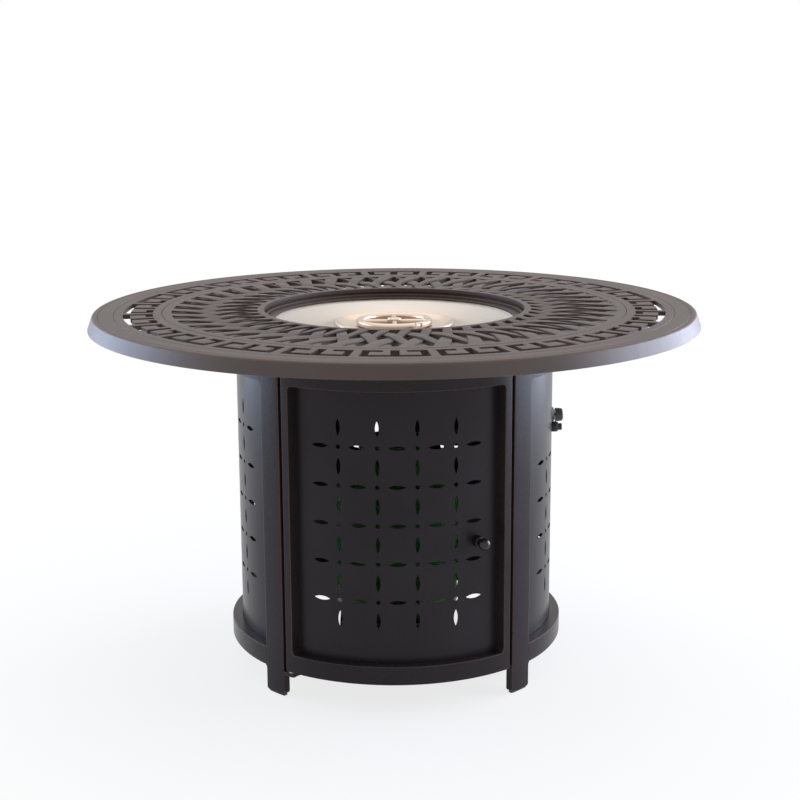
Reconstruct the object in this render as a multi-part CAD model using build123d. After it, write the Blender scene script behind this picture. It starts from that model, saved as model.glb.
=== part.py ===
import math
import os

from build123d import *

# Overall sizes of the fire pit table, in millimetres, and the turn of the top's patterns in degrees
rim_radius = 610.0
table_height = 728.0
bowl_radius = 262.0
top_turn = -0.65
plate_thickness = 9.0
skirt_height = 27.0
rim_slope = 10.0
rim_chamfer = 2.0
skirt_thickness = 6.0
groove_insets = (52.0, 21.0)
groove_width = 1.6
groove_depth = 1.0

# Joint between the rim casting and the lattice casting
joint_band = 18.0
joint_gap = 0.5
ledge_overlap = 14.0
ledge_seat = 12.0
ledge_thickness = 11.0

# Greek key band cut through the rim casting
key_count = 24
key_inset = 70.0
key_depth = 58.0
key_slot = 14.0
key_web = 15.8
key_hook_end = 22.0
key_stem_half = 8.0

# Woven lattice: spiral strips that cross in rows
lattice_count = 44
lattice_outer_band = 19.0
lattice_inner_band = 13.0
row_count = 3
first_row_share = 0.175
rise_share = 0.79
strip_share = 0.46
weave_dip = 3.0
weave_room = 1.1
weave_shy = 0.1
weave_least = 0.25

# Stepped collar around the fire bowl
collar_ledge = 6.0
collar_band = 18.0
ledge_width = 16.0
ledge_height = 2.5
ledge_gap = 0.3
collar_groove_depth = 10.0
collar_groove_height = 3.0

# Burner pan and dish
pan_edge_inset = 24.0
pan_flange_lap = 4.0
pan_sheet = 2.0
pan_depth = 23.0
pan_floor_share = 0.63
dish_rim_radius = 122.0
dish_flare = 18.0
dish_rim_bead = 4.0
dish_height = 13.0
burner_ring_radius = 70.0
burner_tube_radius = 7.0
burner_tube_sides = 12
burner_cross_radius = 5.0
burner_hub_radius = 15.0
burner_hub_rise = 7.0
burner_clearance = 2.0
port_count = 24
port_radius = 1.25
inlet_radius = 10.5
inlet_bore = 8.0
inlet_drop = 48.0
inlet_clearance = 0.5
lock_nut_across = 32.0
lock_nut_height = 8.0
air_hole_radius = 4.0
orifice_across = 24.0
orifice_height = 18.0

# Igniter spot beside the ring burner
spot_from_ring = 23.0
spot_angle = 30.0
spot_length = 26.0
spot_width = 10.0
spot_height = 6.0
spot_spacing = 14.0
ceramic_radius = 3.5
ceramic_length = 9.0
electrode_tip_radius = 1.0
electrode_tip_length = 6.0
probe_radius = 2.5
probe_length = 12.0

# Rigid supply tube from the control valve to the burner
tube_radius = 4.0
tube_bend = 25.0
tube_drop = 30.0

# Base frame: legs, rails and perforated panels
frame_beyond_bowl = 79.0
leg_depth = 16.0
leg_width = 50.0
leg_foot_round = 6.0
leg_angle = 45.0
rail_depth = 21.0
rail_height = 37.0
bottom_rail_z = 55.0
top_rail_drop = 40.0
corner_round = 9.0
glide_height = 4.0
glide_inset = 4.0
panel_sheet = 1.5
panel_lap = 5.0
panel_end_inset = 12.0

# Perforation pattern of dots and petals
column_angle = 13.43
pattern_rows = 5
pattern_foot = 121.0
pattern_head = 110.0
dot_radius = 4.25
petal_length = 34.0
petal_width = 8.5

# Support arms under the table and plates inside the cabinet
arm_width = 40.0
arm_thickness = 8.0
arm_start = 6.0
arm_lap = 10.0
collar_bolt_offset = 11.5
ledge_bolt_inset = 7.0
bolt_radius = 3.0
bolt_head_across = 10.0
bolt_head_height = 5.0
bolt_reach = 24.0
bolt_clearance = 0.2
shield_sheet = 1.5
shield_inset = 9.0
shield_hole_radius = 40.0
base_plate_sheet = 3.0
base_plate_inset = 3.0
base_tray_beyond_foot = 20.0
base_ring_width = 26.0
base_front_depth = 38.0
front_relief = 25.0
leg_notch_gap = 1.0

# Door hung on pivot pins beside the left front leg
door_gap = 7.0
door_top_drop = 4.0
door_stile = 16.0
door_panel_inset = 3.0
pivot_from_edge = 8.0
pivot_pin_radius = 4.0
pivot_running_gap = 0.08
pivot_engagement = 20.0
bracket_thickness = 8.0
bracket_length = 24.0
washer_thickness = 2.0
washer_radius = 9.0
upper_pivot_gap = 2.0
pin_head_radius = 6.0
pin_head_height = 2.0
door_knob_angle = 27.93
door_knob_share = 0.435
door_knob_radius = 11.5
door_knob_reach = 28.0
door_knob_stem = 3.0
door_knob_tail = 5.0
collar_radius = 9.7
collar_length = 14.0
collar_ribs = 16
collar_rib_radius = 1.3
catch_drop = 63.0
catch_height = 40.0
catch_depth = 14.0
catch_start = -8.0
catch_riser_end = 12.0
strike_start = 34.0
strike_end = 46.0
strike_sheet = 1.5
catch_air_gap = 0.3

# Controls on the right hand panel
control_angle = 93.0
control_drop = 125.0
control_knob_radius = 14.0
control_knob_length = 16.0
control_knob_chamfer = 2.0
control_push = 3.0
bezel_radius = 18.0
bezel_length = 7.2
bezel_boss_radius = 8.0
stem_radius = 3.0
stem_seat = 9.0
stem_gap = 0.3
valve_width = 34.0
valve_height = 30.0
valve_depth = 34.0
igniter_angle = 85.5
igniter_drop = 15.0
igniter_flange_radius = 10.6
igniter_flange_length = 12.8
igniter_barrel_radius = 8.5
igniter_barrel_length = 26.0
igniter_nut_across = 22.0
igniter_nut_length = 5.0
button_radius = 7.0
button_stand_out = 21.0
button_travel = 5.0
button_gap = 0.3
plunger_radius = 6.0
plunger_length = 4.0
stem_reach = 14.0
knob_back_gap = 0.5
hose_barb_radius = 6.0
hose_barb_length = 16.0
pointer_width = 2.0
pointer_depth = 1.0
pin_seat_gap = 0.05
button_guard = 6.0
panel_seat = 0.1
panel_hole_gap = 0.4

# Screws
screw_radius = 2.0
screw_head_radius = 4.0
screw_head_height = 2.5
screw_reach = 11.0
screw_clearance = 0.2
screw_angles = (-30.0, 0.0, 30.0)
pan_screw_count = 8
pan_screw_offset = 22.5
pan_screw_inset = 1.0
pan_screw_reach = 8.0

# Gas cylinder inside the cabinet
cylinder_radius = 128.0
cylinder_wall = 3.0
cylinder_shoulder_z = 335.0
cylinder_top_dome = 50.0
cylinder_heel_z = 115.0
cylinder_bottom_dome = 43.0
foot_ring_radius = 98.0
foot_ring_sheet = 3.0
guard_radius = 75.0
guard_sheet = 3.0
guard_height = 78.0
guard_window_angle = 70.0
guard_window_height = 30.0
guard_outlet_angle = 60.0
neck_bore = 9.0
neck_plug_gap = 0.2
neck_plug_depth = 15.0
neck_radius = 16.0
neck_height = 8.0
gas_valve_radius = 12.0
gas_valve_height = 36.0
gas_outlet_radius = 10.0
gas_outlet_length = 36.0
wheel_radius = 25.0
wheel_height = 13.0
wheel_lobes = 8
wheel_lobe_radius = 5.0
wheel_spindle_radius = 4.0
wheel_spindle_height = 9.0
wheel_gap = 0.3
wheel_lift = 2.0

# Levels and radii that follow from the sizes above
plate_z = table_height - plate_thickness
skirt_z = table_height - skirt_height
rim_top_radius = rim_radius - rim_slope
key_outer_radius = rim_radius - key_inset
key_inner_radius = key_outer_radius - key_depth
key_middle_radius = (key_inner_radius + key_outer_radius) / 2
key_half_width = (math.tau * key_middle_radius / key_count - key_web) / 2
joint_radius = key_inner_radius - joint_band
lattice_outer_radius = joint_radius - lattice_outer_band
lattice_inner_radius = bowl_radius + lattice_inner_band
lattice_span = math.log(lattice_outer_radius / lattice_inner_radius)
first_row_radius = lattice_outer_radius * math.exp(-first_row_share * lattice_span)
spiral_rise = rise_share * lattice_span
pan_edge_radius = bowl_radius - pan_edge_inset
pan_flange_radius = bowl_radius + pan_flange_lap
pan_floor_radius = pan_edge_radius * pan_floor_share
dish_floor_radius = dish_rim_radius - dish_flare
frame_radius = bowl_radius + frame_beyond_bowl
arm_bolt_radii = (bowl_radius + collar_bolt_offset, joint_radius - ledge_bolt_inset)
collar_z = plate_z - ledge_thickness
arm_z = collar_z - arm_thickness
pan_floor_z = collar_z - pan_depth
dish_floor_z = pan_floor_z + pan_sheet
burner_z = dish_floor_z + burner_clearance + pan_sheet + burner_tube_radius
inlet_top_z = burner_z - burner_tube_radius
inlet_bottom_z = inlet_top_z - inlet_drop
orifice_z = inlet_bottom_z - orifice_height
bottom_rail_top = bottom_rail_z + rail_height
top_rail_top = arm_z - top_rail_drop
top_rail_z = top_rail_top - rail_height
panel_bottom_z = bottom_rail_z + panel_lap
panel_top_z = top_rail_top - panel_lap
door_top_z = top_rail_top - door_top_drop
door_knob_z = bottom_rail_top + door_knob_share * (top_rail_z - bottom_rail_top)
catch_z = top_rail_z - catch_drop
control_z = top_rail_z - control_drop
igniter_z = control_z - igniter_drop
pattern_row_z = bottom_rail_top + pattern_foot
row_pitch = (top_rail_z - pattern_head - pattern_row_z) / (pattern_rows - 1)
rail_radius = frame_radius - rail_depth
panel_inner = rail_radius - panel_sheet
leg_inner = frame_radius - leg_depth
base_plate_z = bottom_rail_z - base_plate_sheet
half_leg = leg_width / 2
door_edge = half_leg + door_gap
pivot_offset = door_edge + pivot_from_edge
pivot_radius = frame_radius - rail_depth / 2
cut_margin = 10.0
half_step = 180.0 / burner_tube_sides
full_turn = 360.0
bay_turns = {"front": 0.0, "right": 90.0, "rear": 180.0, "left": 270.0}
leg_turns = {"front_left": -leg_angle, "front_right": leg_angle, "rear_right": 180.0 - leg_angle,
             "rear_left": leg_angle - 180.0}

nodes = {}


def at(radius, angle, z):
    """Point at an angle in degrees from the front, positive towards the right side."""
    turn = math.radians(angle)
    return Vector(radius * math.sin(turn), -radius * math.cos(turn), z)


def radial_plane(radius, angle, z):
    """Plane that faces straight out of the cabinet, with its X along the wall."""
    turn = math.radians(angle)
    along = Vector(math.cos(turn), math.sin(turn), 0)
    outward = Vector(math.sin(turn), -math.cos(turn), 0)
    return Plane(origin=at(radius, angle, z), x_dir=along, z_dir=outward)


def turned(shape, angle):
    return Rot(0, 0, angle) * shape


def arc_edge(radius, start, end, z):
    middle = (start + end) / 2
    return Edge.make_three_point_arc(at(radius, start, z), at(radius, middle, z), at(radius, end, z))


def line_edge(first, second):
    return Edge.make_line(first, second)


def sector(inner, outer, start, end, low, high):
    """Piece of a ring between two angles."""
    edges = [arc_edge(inner, start, end, low)]
    edges.append(line_edge(at(inner, end, low), at(outer, end, low)))
    edges.append(arc_edge(outer, start, end, low))
    edges.append(line_edge(at(outer, start, low), at(inner, start, low)))
    face = Face(Wire(edges))
    return extrude(face, amount=high - low, dir=(0, 0, 1))


def ring(inner, outer, low, high):
    solid = Pos(0, 0, low) * Cylinder(outer, high - low, align=(Align.CENTER, Align.CENTER, Align.MIN))
    bore = Pos(0, 0, low - cut_margin) * Cylinder(
        inner, high - low + 2 * cut_margin, align=(Align.CENTER, Align.CENTER, Align.MIN))
    return solid - bore


def upright(radius, low, high):
    return Pos(0, 0, low) * Cylinder(radius, high - low, align=(Align.CENTER, Align.CENTER, Align.MIN))


def turned_profile(points):
    """Solid of revolution about the vertical axis from (radius, height) points."""
    corners = [(radius, 0, z) for radius, z in points]
    face = Face(Wire.make_polygon([Vector(*corner) for corner in corners], close=True))
    return revolve(face, Axis.Z)


def rod(plane, radius, start, end):
    """Round bar along the normal of a plane."""
    return extrude(plane.offset(start) * Circle(radius), amount=end - start)


def hex_bar(plane, across, start, end):
    return extrude(plane.offset(start) * RegularPolygon(across / math.sqrt(3), 6), amount=end - start)


def leg_box(angle, width, inner, outer, low, high):
    """Upright block across the radius at a leg."""
    block = Box(width, outer - inner, high - low, align=(Align.CENTER, Align.MAX, Align.MIN))
    return turned(Pos(0, -inner, low) * block, angle)


def screw(plane, head_radius, head_height, radius, reach):
    """Screw whose head stands behind the plane and whose shank runs forward from it."""
    return rod(plane, head_radius, -head_height, 0) + rod(plane, radius, 0, reach)


# Greek key slots and the rim casting
def key_point(arc, radius, turn):
    return radius, turn + math.degrees(arc / key_middle_radius)


def key_slot_tool(turn):
    """One motif: a stem whose foot spreads into two hooks that curl back inward."""
    outer_low = key_outer_radius - key_slot
    inner_high = key_inner_radius + key_slot
    half = [(key_stem_half, key_inner_radius), (key_stem_half, outer_low)]
    half.append((key_half_width - key_slot, outer_low))
    half.append((key_half_width - key_slot, inner_high))
    half.append((key_hook_end, inner_high))
    half.append((key_hook_end, key_inner_radius))
    half.append((key_half_width, key_inner_radius))
    half.append((key_half_width, key_outer_radius))
    mirrored = [(-arc, radius) for arc, radius in reversed(half)]
    corners = [key_point(arc, radius, turn) for arc, radius in half + mirrored]
    edges = []
    for first, second in zip(corners, corners[1:] + corners[:1]):
        same_radius = abs(first[0] - second[0]) < 1e-6
        if same_radius:
            edges.append(arc_edge(first[0], first[1], second[1], plate_z - cut_margin))
        else:
            edges.append(line_edge(at(first[0], first[1], plate_z - cut_margin),
                                   at(second[0], second[1], plate_z - cut_margin)))
    return extrude(Face(Wire(edges)), amount=plate_thickness + 2 * cut_margin, dir=(0, 0, 1))


def rim_profile():
    top = [(joint_radius + joint_gap / 2, table_height)]
    for inset in groove_insets:
        radius = rim_radius - inset
        top.append((radius - groove_width / 2, table_height))
        top.append((radius, table_height - groove_depth))
        top.append((radius + groove_width / 2, table_height))
    top.append((rim_top_radius - rim_chamfer, table_height))
    top.append((rim_top_radius + rim_chamfer / 2, table_height - rim_chamfer))
    top.append((rim_radius, skirt_z))
    top.append((rim_radius - skirt_thickness, skirt_z))
    top.append((rim_top_radius - skirt_thickness, plate_z))
    top.append((joint_radius + ledge_seat, plate_z))
    top.append((joint_radius + ledge_seat, collar_z))
    top.append((joint_radius - ledge_overlap, collar_z))
    top.append((joint_radius - ledge_overlap, plate_z))
    top.append((joint_radius + joint_gap / 2, plate_z))
    return top


bolt_planes = []
for leg_turn in leg_turns.values():
    for bolt_radius_out in arm_bolt_radii:
        bolt_planes.append(Plane(origin=at(bolt_radius_out, leg_turn, arm_z), z_dir=(0, 0, 1)))
bolt_holes = [rod(plane, bolt_radius + bolt_clearance, -cut_margin, bolt_reach + bolt_clearance)
              for plane in bolt_planes]

table_rim = turned_profile(rim_profile())
table_rim = table_rim.cut(*[key_slot_tool(top_turn + index * full_turn / key_count)
                              for index in range(key_count)])
nodes["table_rim"] = table_rim.cut(*bolt_holes)


# Woven lattice ring with its stepped collar
def lattice_holes():
    """Diamond gaps left between the two families of spiral strips, row by row."""
    pitch = full_turn / lattice_count
    half_width = pitch * (1 - strip_share) / 2
    half_rise = spiral_rise * (1 - strip_share) / 2
    holes = []
    for row in range(row_count):
        row_radius = first_row_radius * math.exp(-row * spiral_rise / 2)
        top_radius = row_radius * math.exp(half_rise)
        low_radius = row_radius * math.exp(-half_rise)
        for index in range(lattice_count):
            middle = top_turn + (index + row / 2) * pitch
            corners = [(row_radius, middle - half_width)]
            if top_radius > lattice_outer_radius:
                spread = half_width * math.log(top_radius / lattice_outer_radius) / half_rise
                corners.append((lattice_outer_radius, middle - spread))
                corners.append((lattice_outer_radius, middle + spread))
            else:
                corners.append((top_radius, middle))
            corners.append((row_radius, middle + half_width))
            if low_radius < lattice_inner_radius:
                spread = half_width * math.log(lattice_inner_radius / low_radius) / half_rise
                corners.append((lattice_inner_radius, middle + spread))
                corners.append((lattice_inner_radius, middle - spread))
            else:
                corners.append((low_radius, middle))
            points = [at(radius, angle, plate_z) for radius, angle in corners]
            holes.append(Wire.make_polygon(points, close=True))
    return holes


def weave_tools():
    """Sloping pockets where a strip dives under the strip that crosses it."""
    pitch = math.radians(full_turn / lattice_count)
    lean = pitch / spiral_rise
    half = pitch * strip_share / 2
    tools = []
    for row in range(row_count):
        row_radius = first_row_radius * math.exp(-row * spiral_rise / 2)
        turn = 1 if row % 2 == 0 else -1
        for side in (1, -1):
            border = lattice_outer_radius if side > 0 else lattice_inner_radius
            near = half * (1 + weave_shy)
            far = min(pitch - half, 2 * lean * side * math.log(border / row_radius)) - half * weave_shy
            if far - near < half * weave_least:
                continue
            middle = (near + far) / 2
            radius = row_radius * math.exp(side * middle / (2 * lean))
            for index in range(lattice_count):
                theta = math.radians(top_turn) + (index + (row + 1) / 2) * pitch + side * turn * middle / 2
                tangent = Vector(math.cos(theta), math.sin(theta), 0) * (side * turn * radius / 2)
                outward = Vector(math.sin(theta), -math.cos(theta), 0)
                climb = outward * (side * radius / (2 * lean))
                along = tangent + climb
                across = tangent - climb
                start = outward * radius + along * (near - middle) - across * (half * weave_room)
                low = start + Vector(0, 0, table_height - weave_dip)
                high = start + Vector(0, 0, table_height + weave_dip)
                end = high + along * (2 * (far - near))
                section = Face(Wire.make_polygon([low, end, high], close=True))
                tools.append(Solid.extrude(section, across * (2 * half * weave_room)))
    return tools


def circle_wire(radius, z):
    return Wire.make_circle(radius, Plane(origin=(0, 0, z), z_dir=(0, 0, 1)))


lattice_edge = circle_wire(joint_radius - joint_gap / 2, plate_z)
lattice_face = Face(lattice_edge, [circle_wire(bowl_radius, plate_z)] + lattice_holes())
lattice_plate = extrude(lattice_face, amount=plate_thickness, dir=(0, 0, 1)).cut(*weave_tools())
collar_inner = bowl_radius - collar_ledge
bowl_collar = ring(collar_inner, bowl_radius + collar_band, collar_z, plate_z)
groove_z = plate_z - collar_groove_height
bowl_collar -= ring(collar_inner - cut_margin, collar_inner + collar_groove_depth, groove_z, plate_z)
pan_screw_planes = [Plane(origin=at(bowl_radius - pan_screw_inset,
                                    pan_screw_offset + index * full_turn / pan_screw_count,
                                    collar_z - pan_sheet), z_dir=(0, 0, 1))
                    for index in range(pan_screw_count)]
pan_screw_holes = [rod(plane, screw_radius + screw_clearance, -cut_margin, pan_screw_reach + screw_clearance)
                   for plane in pan_screw_planes]
lattice_ring = lattice_plate + bowl_collar
nodes["lattice_ring"] = lattice_ring.cut(*bolt_holes, *pan_screw_holes)

# Support arms between the legs and the two castings
for name, leg_turn in leg_turns.items():
    arm = leg_box(leg_turn, arm_width, bowl_radius + arm_start, joint_radius + arm_lap, arm_z, collar_z)
    nodes["support_arm_" + name] = arm.cut(*bolt_holes)
table_bolts = [hex_bar(plane, bolt_head_across, -bolt_head_height, 0) + rod(plane, bolt_radius, 0, bolt_reach)
               for plane in bolt_planes]
nodes["table_bolts"] = Compound(children=table_bolts)

# Burner pan, dish and ring
inlet_hole = upright(inlet_radius + inlet_clearance, pan_floor_z - cut_margin, burner_z)
pan_profile = [(0, pan_floor_z), (pan_floor_radius, pan_floor_z)]
pan_profile.append((pan_edge_radius, collar_z - pan_sheet))
pan_profile.append((pan_flange_radius, collar_z - pan_sheet))
pan_profile.append((pan_flange_radius, collar_z))
pan_profile.append((pan_edge_radius - pan_sheet, collar_z))
pan_profile.append((pan_floor_radius, pan_floor_z + pan_sheet))
pan_profile.append((0, pan_floor_z + pan_sheet))
nodes["burner_pan"] = (turned_profile(pan_profile) - inlet_hole).cut(*pan_screw_holes)
ledge_inner = collar_inner - ledge_width
ledge_outer = collar_inner - ledge_gap
nodes["bowl_ledge"] = ring(ledge_inner, ledge_outer, collar_z, collar_z + ledge_height)
nodes["pan_screws"] = Compound(children=[screw(plane, screw_head_radius, screw_head_height, screw_radius,
                                               pan_screw_reach) for plane in pan_screw_planes])

dish_bead_radius = dish_rim_radius - dish_rim_bead
dish_bead_z = dish_floor_z + dish_height - dish_rim_bead
dish_profile = [(0, dish_floor_z), (dish_floor_radius, dish_floor_z)]
dish_profile.append((dish_bead_radius, dish_bead_z - pan_sheet))
dish_profile.append((dish_bead_radius, dish_bead_z))
dish_profile.append((dish_floor_radius - pan_sheet, dish_floor_z + pan_sheet))
dish_profile.append((0, dish_floor_z + pan_sheet))
dish_bead = Pos(0, 0, dish_bead_z) * Torus(dish_bead_radius, dish_rim_bead)
nodes["burner_dish"] = turned_profile(dish_profile) + dish_bead - inlet_hole

ring_section = Plane.XZ * Pos(burner_ring_radius, burner_z) * Rot(0, 0, half_step) * RegularPolygon(
    burner_tube_radius / math.cos(math.radians(half_step)), burner_tube_sides)
burner = upright(burner_hub_radius, inlet_top_z, burner_z + burner_hub_rise)
for cross_turn in (0.0, 90.0, 180.0, 270.0):
    cross_plane = radial_plane(0, cross_turn, burner_z)
    burner += rod(cross_plane, burner_cross_radius, burner_hub_radius / 2, burner_ring_radius)
burner += revolve(ring_section, Axis.Z)
ports = [Pos(at(burner_ring_radius, (index + 0.5) * full_turn / port_count, burner_z)) *
         Cylinder(port_radius, 2 * burner_tube_radius, align=(Align.CENTER, Align.CENTER, Align.MIN))
         for index in range(port_count)]
nodes["burner_ring"] = burner.cut(*ports)

inlet = upright(inlet_radius, inlet_bottom_z, inlet_top_z) - upright(inlet_bore, inlet_bottom_z - cut_margin,
                                                                    inlet_top_z - pan_sheet)
air_hole_z = inlet_bottom_z + inlet_radius
for air_turn in (0.0, 90.0):
    air_plane = radial_plane(0, air_turn, air_hole_z)
    inlet -= rod(air_plane, air_hole_radius, -2 * inlet_radius, 2 * inlet_radius)
nodes["burner_inlet"] = inlet
lock_nut_plane = Plane(origin=(0, 0, pan_floor_z - lock_nut_height), z_dir=(0, 0, 1))
nodes["burner_nut"] = hex_bar(lock_nut_plane, lock_nut_across, 0, lock_nut_height) - upright(
    inlet_radius + screw_clearance, inlet_bottom_z, burner_z)
orifice_plane = Plane(origin=(0, 0, orifice_z), z_dir=(0, 0, 1))
nodes["orifice_fitting"] = hex_bar(orifice_plane, orifice_across, 0, orifice_height)


# Ignition electrode and thermocouple probe beside the ring
def spot_plane(shift, lift):
    turn = math.radians(spot_angle)
    along = Vector(math.cos(turn), math.sin(turn), 0)
    level = dish_floor_z + pan_sheet + lift
    origin = at(burner_ring_radius + spot_from_ring, spot_angle, level) + along * shift
    return Plane(origin=origin, x_dir=along, z_dir=(0, 0, 1))


spot_outline = Rectangle(spot_length, spot_width)
nodes["electrode_bracket"] = extrude(spot_plane(0, 0) * spot_outline, amount=spot_height)
electrode_plane = spot_plane(-spot_spacing / 2, spot_height)
ceramic = rod(electrode_plane, ceramic_radius, 0, ceramic_length)
tip = rod(electrode_plane, electrode_tip_radius, ceramic_length, ceramic_length + electrode_tip_length)
nodes["ignition_electrode"] = ceramic + tip
nodes["thermocouple"] = rod(spot_plane(spot_spacing / 2, spot_height), probe_radius, 0, probe_length)


# Legs and foot glides
def leg_blank(low, high, inset, foot_round):
    height = high - low
    outline = Pos(0, height / 2) * Rectangle(leg_width - 2 * inset, height)
    if foot_round:
        outline = fillet(outline.vertices().group_by(Axis.Y)[0], foot_round)
    slab = extrude(radial_plane(leg_inner - cut_margin, 0, low) * outline, amount=leg_depth + 2 * cut_margin)
    spread = 2 * leg_width / frame_radius * full_turn / math.tau
    curve = sector(leg_inner + inset, frame_radius - inset, -spread, spread, low, high)
    return curve & slab


leg = leg_blank(glide_height, arm_z, 0, leg_foot_round)
glide = leg_blank(0, glide_height, glide_inset, 0)
for name, leg_turn in leg_turns.items():
    nodes["leg_" + name] = turned(leg, leg_turn)
nodes["foot_glides"] = Compound(children=[turned(glide, leg_turn) for leg_turn in leg_turns.values()])


# Rails and panels are drawn in the front bay and then turned round to the other bays
def bay_sector(inner, outer, low, high, offset):
    """Ring piece between the two front legs that stops at a distance from each leg's middle plane."""
    piece = sector(inner, outer, -leg_angle, leg_angle, low, high)
    for side in (-leg_angle, leg_angle):
        piece -= leg_box(side, 2 * offset, inner - leg_width, outer + leg_width, low - cut_margin,
                         high + cut_margin)
    return piece


def bay_window(low, high, offset, rounded):
    """Opening between the legs whose chosen level faces have rounded corners."""
    window = bay_sector(rail_radius - cut_margin, frame_radius + cut_margin, low, high, offset)
    corners = []
    for level in rounded:
        corners += window.faces().filter_by(Axis.Z).sort_by(Axis.Z)[level].edges().filter_by(GeomType.LINE)
    return fillet(corners, corner_round)


screw_levels = (bottom_rail_z + rail_height / 2, top_rail_z + rail_height / 2)
screw_planes = [radial_plane(panel_inner - panel_seat, angle, level)
                for angle in screw_angles for level in screw_levels]
screw_holes = [rod(plane, screw_radius + screw_clearance, -cut_margin, screw_reach + screw_clearance)
               for plane in screw_planes]
bay_screws = [screw(plane, screw_head_radius, screw_head_height, screw_radius, screw_reach)
              for plane in screw_planes]

bottom_rail = bay_sector(rail_radius, frame_radius, bottom_rail_z - corner_round, bottom_rail_top, half_leg)
bottom_rail -= bay_window(0, bottom_rail_z, half_leg, [-1])
bottom_rail = bottom_rail.cut(*screw_holes)
top_rail = bay_sector(rail_radius, frame_radius, top_rail_z - corner_round, top_rail_top, half_leg)
top_rail -= bay_window(bottom_rail_top, top_rail_z, half_leg, [-1])
top_rail = top_rail.cut(*screw_holes)


def petal(plane, along_wall):
    """Leaf shaped hole, pointed at both ends."""
    half = petal_length / 2
    upper = ThreePointArc((-half, 0), (0, petal_width / 2), (half, 0))
    lower = ThreePointArc((half, 0), (0, -petal_width / 2), (-half, 0))
    leaf = make_face([upper, lower])
    if not along_wall:
        leaf = Rot(0, 0, 90) * leaf
    return extrude(plane * leaf, amount=2 * cut_margin)


def pattern_tools(rows, petal_above):
    """Dots where rows and columns cross, with petals along each row and column between them."""
    start = rail_radius - cut_margin
    tools = []
    for row in range(rows):
        level = pattern_row_z + row * row_pitch
        for column in (-1.5, -0.5, 0.5, 1.5):
            place = radial_plane(start, column * column_angle, level)
            tools.append(rod(place, dot_radius, 0, 2 * cut_margin))
        for column in (-2, -1, 0, 1, 2):
            tools.append(petal(radial_plane(start, column * column_angle, level), True))
    petal_rows = rows + 1 if petal_above else rows
    for row in range(petal_rows):
        level = pattern_row_z + (row - 0.5) * row_pitch
        for column in (-1.5, -0.5, 0.5, 1.5):
            tools.append(petal(radial_plane(start, column * column_angle, level), False))
    return tools


full_pattern = pattern_tools(pattern_rows, True)
blank_panel = bay_sector(panel_inner, rail_radius, panel_bottom_z, panel_top_z, panel_end_inset)
blank_panel = blank_panel.cut(*screw_holes)
patterned_panel = blank_panel.cut(*full_pattern)
for name in ("left", "right", "rear"):
    nodes["bottom_rail_" + name] = turned(bottom_rail, bay_turns[name])
    nodes["top_rail_" + name] = turned(top_rail, bay_turns[name])
nodes["panel_left"] = turned(patterned_panel, bay_turns["left"])
nodes["panel_rear"] = turned(patterned_panel, bay_turns["rear"])
panel_screws = [turned(one, bay_turns[name]) for name in ("left", "right", "rear") for one in bay_screws]
nodes["panel_screws"] = Compound(children=panel_screws)


# Flat plates at the top and bottom of the cabinet
def cabinet_plate(radius, low, high):
    plate = upright(radius, low, high)
    plate -= sector(frame_radius - front_relief, radius + cut_margin, -leg_angle, leg_angle, low - cut_margin,
                    high + cut_margin)
    for leg_turn in leg_turns.values():
        plate -= leg_box(leg_turn, leg_width + 2 * (corner_round + leg_notch_gap), leg_inner - leg_depth,
                         frame_radius + leg_width, low - cut_margin, high + cut_margin)
    return plate


shield = cabinet_plate(frame_radius - shield_inset, top_rail_top, top_rail_top + shield_sheet)
nodes["heat_shield"] = shield - upright(shield_hole_radius, top_rail_top - cut_margin,
                                        top_rail_top + cut_margin)
base_radius = frame_radius - base_plate_inset
base_low = base_plate_z - cut_margin
base_high = bottom_rail_z + cut_margin
base_height = base_high - base_low
base_front = (leg_inner - leg_depth) * math.cos(math.radians(leg_angle)) - base_front_depth
tray_width = 2 * (foot_ring_radius + base_tray_beyond_foot)
base_windows = upright(base_radius - base_ring_width, base_low, base_high)
base_windows -= Pos(0, 0, base_low) * Box(tray_width, 2 * base_radius, base_height,
                                          align=(Align.CENTER, Align.CENTER, Align.MIN))
base_windows -= Pos(0, -base_front, base_low) * Box(2 * base_radius, base_radius, base_height,
                                                    align=(Align.CENTER, Align.MAX, Align.MIN))
nodes["base_plate"] = cabinet_plate(base_radius, base_plate_z, bottom_rail_z) - base_windows

# Door on its pivots
pivot_angle = math.degrees(math.asin(pivot_offset / pivot_radius)) - leg_angle
pivot_point = at(pivot_radius, pivot_angle, 0)
pivot_plane = Plane(origin=pivot_point, z_dir=(0, 0, 1))
bracket_top = bottom_rail_z - washer_thickness
upper_bracket_z = door_top_z + upper_pivot_gap
door_window = bay_window(bottom_rail_top, top_rail_z, door_edge + door_stile, [0, -1])
door_frame = bay_sector(rail_radius, frame_radius, bottom_rail_z, door_top_z, door_edge) - door_window
pivot_bore = pivot_pin_radius + pivot_running_gap
lower_bore = rod(pivot_plane, pivot_bore, bottom_rail_z - cut_margin, bottom_rail_z + pivot_engagement + 1)
upper_bore = rod(pivot_plane, pivot_bore, door_top_z - pivot_engagement - 1, door_top_z + cut_margin)
nodes["door_frame"] = (door_frame - lower_bore - upper_bore).cut(*screw_holes)
nodes["door_screws"] = Compound(children=bay_screws)


def pivot_bracket(low):
    high = low + bracket_thickness
    lug = sector(rail_radius, frame_radius, -leg_angle, 0, low, high)
    near = leg_inner - leg_width
    far = frame_radius + leg_width
    lug &= leg_box(-leg_angle, 2 * (half_leg + bracket_length), near, far, low, high)
    lug -= leg_box(-leg_angle, leg_width, near, far, low, high)
    return lug - rod(pivot_plane, pivot_pin_radius + pin_seat_gap, low - cut_margin, high + cut_margin)


def pivot_pin(low, high, head_low):
    return rod(pivot_plane, pivot_pin_radius, low, high) + rod(pivot_plane, pin_head_radius, head_low,
                                                               head_low + pin_head_height)


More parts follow.
